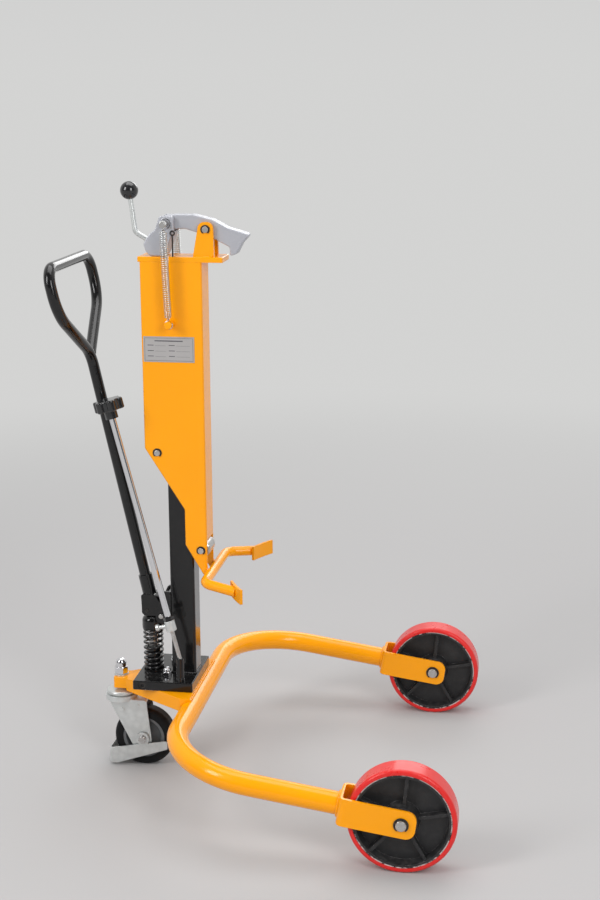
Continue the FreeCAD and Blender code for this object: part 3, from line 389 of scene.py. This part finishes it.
def black_rubber():
    return skin_material("black_rubber", "painted", {
        "Color": (0.007, 0.007, 0.0075), "Dust Color": (0.10, 0.097, 0.095), "Dust": 0.16,
        "Mottle": 0.2, "Grain Scale": 700.0, "Grain Height": 0.00006, "Grain Detail": 4.0,
        "Roughness": 0.50, "Smudge": 0.2, "Edge Radius": 0.001,
    }, shine=0.18)


def grey_nylon():
    return skin_material("grey_nylon", "painted", {
        "Color": (0.115, 0.12, 0.125), "Dust Color": (0.35, 0.34, 0.33), "Dust": 0.25,
        "Mottle": 0.08, "Grain Scale": 900.0, "Grain Height": 0.00003, "Grain Detail": 3.0,
        "Roughness": 0.42, "Smudge": 0.15, "Edge Radius": 0.0008,
    })


def black_phenolic():
    return skin_material("black_phenolic", "painted", {
        "Color": (0.010, 0.010, 0.011), "Dust Color": (0.20, 0.20, 0.20), "Dust": 0.15,
        "Mottle": 0.1, "Grain Scale": 500.0, "Grain Height": 0.00002, "Grain Detail": 1.0,
        "Roughness": 0.16, "Smudge": 0.12, "Edge Radius": 0.0012,
    }, coat=0.4, coat_roughness=0.04)


def spring_lacquer():
    return skin_material("spring_lacquer", "painted", {
        "Color": (0.010, 0.010, 0.011), "Dust Color": (0.22, 0.2, 0.18), "Dust": 0.2,
        "Mottle": 0.15, "Grain Scale": 900.0, "Grain Height": 0.00003, "Grain Detail": 2.0,
        "Roughness": 0.22, "Smudge": 0.14, "Edge Radius": 0.0004,
    }, coat=0.4)


def label_foil():
    return skin_material("label_foil", "plated", {
        "Color": (0.47, 0.455, 0.45), "Cloud Color": (0.41, 0.40, 0.395), "Cloud Scale": 25.0,
        "Cloud": 0.3, "Roughness": 0.42, "Smudge": 0.1, "Scratch Height": 0.000008,
        "Edge Radius": 0.0002,
    }, metallic=0.35)


def label_ink():
    return skin_material("label_ink", "painted", {
        "Color": (0.09, 0.09, 0.10), "Dust": 0.0, "Mottle": 0.1, "Grain Scale": 800.0,
        "Grain Height": 0.000004, "Roughness": 0.5, "Smudge": 0.1, "Edge Radius": 0.00005,
    })


CHIP_START = 0.0026         # from the casting's outer edge inwards
CHIP_FULL = 0.0014
CHIPPED_METAL = (0.62, 0.60, 0.58, 1.0)


def wheel_casting(name, node):
    """Black sand casting, with its rim chipped bright next to the tread."""
    material = skin_material(name, "painted", {
        "Color": (0.016, 0.016, 0.017), "Dust Color": (0.12, 0.115, 0.11), "Dust": 0.35,
        "Mottle": 0.2, "Grain Scale": 330.0, "Grain Height": 0.00022, "Grain Detail": 5.0,
        "Roughness": 0.46, "Smudge": 0.16, "Edge Radius": 0.0014,
    }, wear=0.9, wear_color=(0.30, 0.29, 0.28))
    tree = material.node_tree
    surface = tree.nodes["Principled BSDF"]
    low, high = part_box(node)
    middle = (low + high) / 2
    place = add(tree, "ShaderNodeTexCoord").outputs["Object"]
    centred = add(tree, "ShaderNodeMapping", Vector=place, Location=-middle)
    split = add(tree, "ShaderNodeSeparateXYZ", Vector=centred.outputs["Vector"])
    flat = add(tree, "ShaderNodeCombineXYZ", X=split.outputs["X"], Y=split.outputs["Z"])
    length = add(tree, "ShaderNodeVectorMath", {"operation": "LENGTH"})
    connect(tree, length.inputs[0], flat.outputs["Vector"])
    rim = (high.x - low.x) / 2
    near_tread = spread(tree, length.outputs["Value"], rim - CHIP_START, rim - CHIP_FULL,
                        0.0, 1.0)
    chips = spread(tree, noise(tree, place, 60.0, 6.0, 0.7), 0.45, 0.52, 0.0, 1.0)
    mask = arithmetic(tree, "MULTIPLY", near_tread, chips)
    before = surface.inputs["Base Color"].links[0].from_socket
    connect(tree, surface.inputs["Base Color"],
            blend_colours(tree, mask, before, CHIPPED_METAL))
    return material


MATERIALS = {
    "yellow_paint": yellow_enamel(), "black_paint": black_enamel(),
    "grey_cast_paint": silver_cast_paint(), "zinc": zinc_plate(), "bright_steel": bright_plate(),
    "plain_steel": turned_steel(), "dark_clip": blackened_steel(), "red_tread": red_urethane(),
    "caster_tread": black_rubber(), "caster_hub_grey": grey_nylon(),
    "black_plastic": black_phenolic(), "black_spring": spring_lacquer(),
    "label_stock": label_foil(),
}
BLACKENED_PIN = "press_pin"     # the only plain steel piece that is blackened


def paint_nodes():
    """Gives each CAD node its finish, by the record's material slot."""
    for row in frame["record"]["subparts"]:
        node = frame["nodes"][row["node"]]
        slot = row["material_slot"]
        if row["node"] == BLACKENED_PIN:
            finish = MATERIALS["dark_clip"]
        elif slot == "black_core":
            finish = wheel_casting("casting_" + row["node"], row["node"])
        else:
            finish = MATERIALS[slot]
        node.data.materials.clear()
        node.data.materials.append(finish)


# ------------------------------------------------------------------ swept wires and beads
def sweep_tree():
    """Geometry nodes: a round wire or a rippled bead along a path."""
    tree = bpy.data.node_groups.new("swept_path", "GeometryNodeTree")
    face = tree.interface
    face.new_socket(name="Path", in_out="INPUT", socket_type="NodeSocketGeometry")
    for label, kind, default in (("Radius", FLOAT, 0.001), ("Sides", "NodeSocketInt", 8),
                                 ("Ripple", FLOAT, 0.0), ("Ripple Pitch", FLOAT, 0.004)):
        face.new_socket(name=label, in_out="INPUT", socket_type=kind).default_value = default
    face.new_socket(name="Finish", in_out="INPUT", socket_type="NodeSocketMaterial")
    face.new_socket(name="Mesh", in_out="OUTPUT", socket_type="NodeSocketGeometry")
    given = tree.nodes.new("NodeGroupInput").outputs
    along = add(tree, "GeometryNodeSplineParameter").outputs["Length"]
    turns = arithmetic(tree, "DIVIDE", along, given["Ripple Pitch"])
    wave = arithmetic(tree, "SINE", arithmetic(tree, "MULTIPLY", turns, FULL_TURN))
    swell = arithmetic(tree, "MULTIPLY_ADD", wave, given["Ripple"])
    swell.node.inputs[2].default_value = 1.0
    ring = add(tree, "GeometryNodeCurvePrimitiveCircle", Resolution=given["Sides"],
               Radius=given["Radius"])
    swept = add(tree, "GeometryNodeCurveToMesh", Curve=given["Path"],
                Profile_Curve=ring.outputs["Curve"], Scale=swell, Fill_Caps=True)
    smooth = add(tree, "GeometryNodeSetShadeSmooth", Geometry=swept.outputs["Mesh"])
    real = add(tree, "GeometryNodeRealizeInstances", Geometry=smooth.outputs["Geometry"])
    done = add(tree, "GeometryNodeSetMaterial", Geometry=real.outputs["Geometry"],
               Material=given["Finish"])
    sink = tree.nodes.new("NodeGroupOutput")
    tree.links.new(done.outputs["Geometry"], sink.inputs["Mesh"])
    return tree


SWEEP = sweep_tree()


def path_object(runs):
    """A curve object with one polyline for each (points, closed) run."""
    curve = bpy.data.curves.new("path", "CURVE")
    curve.dimensions = "3D"
    for points, closed in runs:
        spline = curve.splines.new("POLY")
        spline.points.add(len(points) - 1)
        for knot, point in zip(spline.points, points):
            knot.co = (*point, 1.0)
        spline.use_cyclic_u = closed
    return bpy.data.objects.new("path", curve)


def swept(name, runs, radius, finish, sides=8, ripple=0.0):
    """A plain mesh object: a round wire or bead swept along the runs."""
    holder = path_object(runs)
    bpy.context.scene.collection.objects.link(holder)
    modifier = holder.modifiers.new("sweep", "NODES")
    modifier.node_group = SWEEP
    values = {"Radius": radius, "Sides": sides, "Ripple": ripple, "Ripple Pitch": BEAD_PITCH,
              "Finish": finish}
    for item in SWEEP.interface.items_tree:
        if item.in_out == "INPUT" and item.name in values:
            modifier[item.identifier] = values[item.name]
    shape = holder.evaluated_get(bpy.context.evaluated_depsgraph_get())
    mesh = bpy.data.meshes.new_from_object(shape)
    mesh.name = name
    bpy.data.objects.remove(holder)
    return place_mesh(name, mesh)


def place_mesh(name, mesh):
    """Puts a mesh in the scene as an object at the origin."""
    result = bpy.data.objects.new(name, mesh)
    bpy.context.scene.collection.objects.link(result)
    return result


def middle_of(node):
    """The middle of a CAD node's box."""
    low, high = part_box(node)
    return (low + high) / 2


def helix(start, end, radius_at, turns, steps_per_turn=18):
    """Points of a coil about the line from start to end."""
    axis = (end - start).normalized()
    side = axis.cross(Vector((0, 1, 0))).normalized()
    other = axis.cross(side)
    count = int(turns * steps_per_turn)
    points = []
    for i in range(count + 1):
        share = i / count
        angle = FULL_TURN * turns * share
        radius = radius_at(share)
        points.append(start.lerp(end, share) + side * radius * math.cos(angle)
                      + other * radius * math.sin(angle))
    return points


def eased(value):
    """A smooth step from 0 to 1."""
    value = min(max(value, 0.0), 1.0)
    return value * value * (3 - 2 * value)


def hook_ring(centre, towards, radius, sweep_degrees=300, steps=28):
    """Points round a pin in the XZ plane, ending where the coil begins."""
    across = towards.cross(Vector((0, 1, 0)))
    points = []
    for i in range(steps + 1):
        angle = math.radians(sweep_degrees) * (1 - i / steps)
        points.append(centre + (towards * math.cos(angle) + across * math.sin(angle)) * radius)
    return points


def tension_springs():
    """Extension springs, drawn open, from the studs on the carriage to the cam pin."""
    wire = spring_wire()
    studs = middle_of("spring_studs")
    pin = middle_of("cam_pin")
    for name, y in (("right", -SPRING_Y), ("left", SPRING_Y)):
        low = Vector((studs.x, y, studs.z))
        high = Vector((pin.x, y, pin.z))
        up = (high - low).normalized()
        start = low + up * STUD_RING
        stop = high - up * CAM_RING
        length = (stop - start).length
        turns = round(length / TENSION_PITCH)
        taper = TENSION_TAPER / length

        def radius_at(share):
            return TENSION_COIL * min(eased(share / taper), eased((1 - share) / taper))

        points = hook_ring(low, up, STUD_RING)[:-1]
        points += helix(start, stop, radius_at, turns)
        points += list(reversed(hook_ring(high, -up, CAM_RING)))[1:]
        spring = swept("tension_spring_" + name, [(points, False)], TENSION_WIRE, wire)
        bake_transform(spring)
        if name == "right":
            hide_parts("tension_springs")


def return_spring(steps_per_turn=28):
    """Compression spring under the cap, with closed end coils."""
    low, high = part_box("return_spring")
    axis = (low + high) / 2
    bottom = Vector((axis.x, axis.y, low.z + RETURN_WIRE))
    top = Vector((axis.x, axis.y, high.z - RETURN_WIRE))
    steps = RETURN_TURNS * steps_per_turn
    points = []
    for i in range(steps + 1):
        share = i / steps
        open_share = (share - RETURN_CLOSED / 2) / (1 - RETURN_CLOSED)
        even = min(max(open_share, 0), 1)
        rise = RETURN_EASE * eased(open_share) + (1 - RETURN_EASE) * even
        angle = FULL_TURN * RETURN_TURNS * share
        around = Vector((math.cos(angle), math.sin(angle), 0)) * RETURN_COIL
        points.append(bottom.lerp(top, rise) + around)
    spring = swept("return_spring_coil", [(points, False)], RETURN_WIRE,
                   MATERIALS["black_spring"], sides=14)
    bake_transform(spring)
    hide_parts("return_spring")


# ------------------------------------------------------------------ weld beads
def circle(centre, normal, radius, start=0.0, sweep=360.0, step=BEAD_STEP):
    """Points round a centre; start and sweep in degrees from the direction nearest to up."""
    normal = normal.normalized()
    upward = Vector((0, 0, 1)) - normal * normal.z
    if upward.length < 0.01:
        upward = Vector((1, 0, 0))
    upward.normalize()
    side = normal.cross(upward)
    count = max(12, int(math.radians(sweep) * radius / step))
    points = []
    for i in range(count + (0 if sweep >= 360 else 1)):
        angle = math.radians(start + sweep * i / count)
        points.append(centre + (upward * math.cos(angle) + side * math.sin(angle)) * radius)
    return points


def straight(start, end, step=BEAD_STEP):
    """Points from start to end, about one step apart."""
    count = max(2, int((end - start).length / step))
    return [start.lerp(end, i / count) for i in range(count + 1)]


def bead(name, runs, body, slot, radius):
    """A rippled weld bead, painted with the pieces that it joins."""
    piece = swept(name, runs, radius, MATERIALS[slot], ripple=BEAD_RIPPLE)
    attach(piece, body)


def frame_beads():
    """Beads between the tube and each fork, and between the tube and the caster bracket."""
    axle = middle_of("tyre_right")
    tube_low, tube_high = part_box("frame_tube")
    bar = Vector((tube_low.x + TUBE_R, 0, tube_high.z - TUBE_R))
    run = Vector((axle.x - bar.x, 0, axle.z - bar.z)).normalized()
    runs = []
    for side in (-1, 1):
        end = Vector((axle.x, side * abs(axle.y), axle.z)) - run * (FORK_BACK + BEAD_OFF)
        runs.append((circle(end, run, TUBE_R + BEAD_OFF), True))
    bead("fork_weld_beads", runs, "chassis", "yellow_paint", FORK_BEAD)
    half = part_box("caster_bracket")[1].y + BEAD_OFF
    front = Vector((bar.x + 0.001, -half, bar.z + TUBE_R + 0.001))
    seam = straight(front, Vector((front.x, half, front.z)))
    bead("bracket_weld_bead", [(seam, False)], "chassis", "yellow_paint", BRACKET_BEAD)


def rounded_square(low, high, z, corner, steps=8):
    """Points round a square's outline at one height, its corners rounded."""
    points = []
    centres = [(high.x - corner, high.y - corner, 0), (low.x + corner, high.y - corner, 90),
               (low.x + corner, low.y + corner, 180), (high.x - corner, low.y + corner, 270)]
    for x, y, start in centres:
        for i in range(steps + 1):
            angle = math.radians(start + 90 * i / steps)
            points.append(Vector((x + corner * math.cos(angle), y + corner * math.sin(angle), z)))
    dense = []
    for first, second in zip(points, points[1:] + points[:1]):
        dense += straight(first, second)[:-1]
    return dense


def mast_beads():
    """Beads round the foot of the mast, and down the lever's cheeks."""
    low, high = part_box("mast_tube")
    foot_line = rounded_square(low, high, low.z + 0.001, MAST_CORNER)
    bead("mast_weld_bead", [(foot_line, True)], "chassis", "black_paint", MAST_BEAD)
    cheek_low, cheek_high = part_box("lever_bracket")
    runs = []
    for side in (-1, 1):
        foot = Vector((cheek_high.x - 0.0005, side * (cheek_high.y + 0.0005),
                       cheek_low.z + 0.004))
        runs.append((straight(foot, Vector((foot.x, foot.y, cheek_high.z - 0.004))), False))
    bead("cheek_weld_beads", runs, "chassis", "black_paint", CHEEK_BEAD)


def carriage_beads():
    """Beads along the feet of the clamp ears, and where the belly bar meets the carriage."""
    ear_low, ear_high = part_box("clamp_ears")
    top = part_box("top_plate")[1].z
    runs = []
    for side in (-1, 1):
        for y in (ear_high.y + 0.0004, ear_high.y - EAR_THICKNESS - 0.0004):
            start = Vector((ear_low.x + 0.001, side * y, top + 0.0006))
            runs.append((straight(start, Vector((ear_high.x - 0.0035, start.y, start.z))), False))
    bead("ear_weld_beads", runs, "carriage", "yellow_paint", EAR_BEAD)
    bar_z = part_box("belly_bar")[1].z - BELLY_BAR_R
    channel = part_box("carriage_channel")[1]
    runs = []
    for side, start in ((-1, 60), (1, 190)):
        for y in (channel.y, channel.y - CHANNEL_WALL):
            centre = Vector((channel.x + BELLY_BAR_R, side * y, bar_z))
            runs.append((circle(centre, Vector((0, side, 0)), BELLY_BAR_R + 0.0006,
                                start=start, sweep=110), False))
    bead("belly_weld_beads", runs, "carriage", "yellow_paint", BELLY_BEAD)


def shade_gap_rings():
    """Painted shade: dark open rings let into the faces of the cam's bosses, round the pin, where
    the gap round each boss is in shade.
    """
    pin = middle_of("cam_pin")
    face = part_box("cam_lever")[1].y
    runs = []
    for side, start in ((-1, -165), (1, -85)):
        centre = Vector((pin.x, side * face, pin.z))
        runs.append((circle(centre, Vector((0, side, 0)), SHADE_GAP_RING, start, SHADE_GAP_SWEEP), False))
    # a dark wire ring as painted shade for the gap round each boss, in the blackened steel finish
    piece = swept("cam_shade_gap_rings", runs, SHADE_GAP_WIRE, MATERIALS["dark_clip"])
    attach(piece, "cam")


# ------------------------------------------------------------------ label and lock nut
def box_mesh(name, boxes, finish):
    """One mesh of flat-sided blocks from (low, high) corners."""
    corners = [(0, 0, 0), (1, 0, 0), (1, 1, 0), (0, 1, 0),
               (0, 0, 1), (1, 0, 1), (1, 1, 1), (0, 1, 1)]
    sides = [(0, 3, 2, 1), (4, 5, 6, 7), (0, 1, 5, 4),
             (1, 2, 6, 5), (2, 3, 7, 6), (3, 0, 4, 7)]
    points, faces = [], []
    for low, high in boxes:
        base = len(points)
        for pick in corners:
            points.append(tuple(high[i] if pick[i] else low[i] for i in range(3)))
        faces += [tuple(base + i for i in side) for side in sides]
    mesh = bpy.data.meshes.new(name)
    mesh.from_pydata(points, [], faces)
    mesh.materials.append(finish)
    return place_mesh(name, mesh)


def label_print():
    """A ruled border and blank field rules on the data plate."""
    low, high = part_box("label_plate")
    front = low.y - LABEL_PROUD
    back = low.y + LABEL_PROUD
    x0, x1 = low.x + LABEL_MARGIN, high.x - LABEL_MARGIN
    z0, z1 = low.z + LABEL_MARGIN, high.z - LABEL_MARGIN

    def strip(left, right, bottom, top):
        return (left, front, bottom), (right, back, top)

    strips = [strip(x0, x1, z0, z0 + LABEL_LINE), strip(x0, x1, z1 - LABEL_LINE, z1),
              strip(x0, x0 + LABEL_LINE, z0 + LABEL_LINE, z1 - LABEL_LINE),
              strip(x1 - LABEL_LINE, x1, z0 + LABEL_LINE, z1 - LABEL_LINE)]
    row_gap = (z1 - z0) / 4
    title = z1 - row_gap * 0.62
    strips.append(strip(x0 + LABEL_INSET, x1 - LABEL_INSET, title, title + TITLE_H))
    columns = ((x0 + 0.006, x0 + 0.042), (x0 + 0.048, x1 - 0.006))
    for row in range(3):
        z = z1 - row_gap * (1.35 + row * 0.95)
        for left, right in columns:
            strips.append(strip(left, left + FIELD_W, z, z + FIELD_H))
            strips.append(strip(left + RULE_START, right, z - RULE_H, z))
    piece = box_mesh("label_rules", strips, label_ink())
    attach(piece, "carriage")


def lock_nut():
    """The black lock nut where the release rod enters its collar."""
    joint = next(j for j in frame["joints"] if j["name"] == "release_turn")
    base = Vector(joint["pos_m"])
    axis = Vector(joint["axis"]).normalized()
    corner = LOCK_NUT_FLATS / math.sqrt(3)
    side = axis.cross(Vector((0, 1, 0))).normalized()
    other = axis.cross(side)
    bore = LOCK_NUT_BORE / corner
    rings = [(0.0, bore), (0.0, LOCK_NUT_EDGE), (LOCK_NUT_CHAMFER, 1.0),
             (LOCK_NUT_H - LOCK_NUT_CHAMFER, 1.0), (LOCK_NUT_H, LOCK_NUT_EDGE),
             (LOCK_NUT_H, bore)]
    points, faces = [], []
    for height, scale in rings:
        middle = base + axis * (COLLAR_END + LOCK_NUT_GAP + height)
        for i in range(6):
            angle = math.radians(60 * i + LOCK_NUT_TURN)
            around = side * math.cos(angle) + other * math.sin(angle)
            points.append(middle + around * corner * scale)
    count = len(rings)
    for ring in range(count):
        for i in range(6):
            following = (ring + 1) % count
            j = (i + 1) % 6
            faces.append((ring * 6 + i, ring * 6 + j, following * 6 + j, following * 6 + i))
    mesh = bpy.data.meshes.new("release_lock_nut")
    mesh.from_pydata([tuple(p) for p in points], [], faces)
    mesh.materials.append(MATERIALS["black_paint"])
    piece = place_mesh("release_lock_nut", mesh)
    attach(piece, "release")


# ------------------------------------------------------------------ studio
FLOOR_GREY = (0.46, 0.453, 0.45, 1.0)
HAZE_GREY = (0.655, 0.655, 0.648, 1.0)
HAZE_TOP = (0.585, 0.585, 0.59, 1.0)
DARK_ROOM = (0.035, 0.035, 0.04, 1.0)
FILL_LIGHT = (0.60, 0.60, 0.61, 1.0)
FLOOR_HALF = 40.0
HAZE_START = 0.9            # distances from the truck over which the floor fades into the haze
HAZE_FULL = 4.0

# name, place, point aimed at, width, height, watts
SOFTBOXES = (
    ("softbox_left", (-2.3, -2.3, 2.4), (0, 0, 0.6), 1.0, 1.9, 54),
    ("softbox_right", (2.0, -2.6, 2.2), (0, 0, 0.5), 1.0, 1.9, 44),
    ("softbox_top", (0.0, 0.3, 3.4), (0, 0, 0.3), 2.6, 2.0, 42),
    ("softbox_back", (0.4, 3.0, 2.2), (0, 0, 0.6), 2.0, 1.4, 26),
)

CAMERA_PLACE = (0.5372, -2.9451, 1.4096)
CAMERA_TURN = 0.1599        # radians
CAMERA_TILT = 0.2391
CAMERA_ROLL = -0.0049
CAMERA_LENS = 62.62         # millimetres
CAMERA_SENSOR = 36.0


def floor():
    """A matte floor that glows into the haze far from the truck."""
    mesh = bpy.data.meshes.new("studio_floor")
    corners = ((-1, -1), (1, -1), (1, 1), (-1, 1))
    mesh.from_pydata([(x * FLOOR_HALF, y * FLOOR_HALF, 0) for x, y in corners], [],
                     [(0, 1, 2, 3)])
    material = bpy.data.materials.new("studio_floor")
    material.use_nodes = True
    tree = material.node_tree
    tree.nodes.remove(tree.nodes["Principled BSDF"])
    matte = add(tree, "ShaderNodeBsdfDiffuse", Color=FLOOR_GREY)
    glow = add(tree, "ShaderNodeEmission", Color=HAZE_GREY, Strength=1.0)
    place = add(tree, "ShaderNodeTexCoord").outputs["Object"]
    away = add(tree, "ShaderNodeVectorMath", {"operation": "LENGTH"})
    connect(tree, away.inputs[0], place)
    far = spread(tree, away.outputs["Value"], HAZE_START, HAZE_FULL, 0.0, 1.0, smooth=True)
    path = add(tree, "ShaderNodeLightPath")
    seen = arithmetic(tree, "MAXIMUM", path.outputs["Is Camera Ray"],
                      path.outputs["Is Glossy Ray"])
    share = arithmetic(tree, "MULTIPLY", far, seen)
    mixed = add(tree, "ShaderNodeMixShader", Fac=share)
    tree.links.new(matte.outputs["BSDF"], mixed.inputs[1])
    tree.links.new(glow.outputs["Emission"], mixed.inputs[2])
    tree.links.new(mixed.outputs["Shader"], tree.nodes["Material Output"].inputs["Surface"])
    mesh.materials.append(material)
    place_mesh("studio_floor", mesh)


def world():
    """Pale haze to the eye, a dark side for mirror rays towards -Y, and an even fill light."""
    sky = bpy.data.worlds.new("studio")
    bpy.context.scene.world = sky
    sky.use_nodes = True
    tree = sky.node_tree
    back = tree.nodes["Background"]
    path = add(tree, "ShaderNodeLightPath")
    way = add(tree, "ShaderNodeSeparateXYZ",
              Vector=add(tree, "ShaderNodeTexCoord").outputs["Generated"])
    rise = spread(tree, way.outputs["Z"], 0.0, 0.25, 0.0, 1.0)
    shown = blend_colours(tree, rise, HAZE_GREY, HAZE_TOP)
    aside = spread(tree, way.outputs["Y"], -0.35, 0.10, 0.0, 1.0, smooth=True)
    mirrored = blend_colours(tree, aside, DARK_ROOM, HAZE_GREY)
    lit = blend_colours(tree, path.outputs["Is Glossy Ray"], FILL_LIGHT, mirrored)
    connect(tree, back.inputs["Color"],
            blend_colours(tree, path.outputs["Is Camera Ray"], lit, shown))


def lamps():
    for name, place, aim, width, height, power in SOFTBOXES:
        light = bpy.data.lights.new(name, "AREA")
        light.shape = "RECTANGLE"
        light.size = width
        light.size_y = height
        light.energy = power
        lamp = bpy.data.objects.new(name, light)
        bpy.context.scene.collection.objects.link(lamp)
        lamp.location = place
        lamp.rotation_euler = (Vector(aim) - Vector(place)).to_track_quat("-Z", "Y").to_euler()


def camera():
    """A standing viewer's height, to the right of the truck and a little ahead of its middle."""
    turn, tilt, roll = CAMERA_TURN, CAMERA_TILT, CAMERA_ROLL
    forward = Vector((-math.sin(turn) * math.cos(tilt), math.cos(turn) * math.cos(tilt),
                      -math.sin(tilt)))
    right = Vector((math.cos(turn), math.sin(turn), 0))
    up = right.cross(forward)
    level_right = right * math.cos(roll) + up * math.sin(roll)
    level_up = up * math.cos(roll) - right * math.sin(roll)
    lens = bpy.data.cameras.new("camera")
    lens.lens = CAMERA_LENS
    lens.sensor_width = CAMERA_SENSOR
    eye = bpy.data.objects.new("camera", lens)
    bpy.context.scene.collection.objects.link(eye)
    axes = Matrix((level_right, level_up, -forward)).transposed()
    eye.matrix_world = Matrix.Translation(CAMERA_PLACE) @ axes.to_4x4()
    bpy.context.scene.camera = eye


# ------------------------------------------------------------------ build
camera()
paint_nodes()
tension_springs()
return_spring()
frame_beads()
mast_beads()
carriage_beads()
# painted shade: dark rings for the shaded gap round the cam's bosses
shade_gap_rings()
label_print()
lock_nut()
floor()
world()
lamps()
bpy.context.scene.view_settings.view_transform = "Standard"
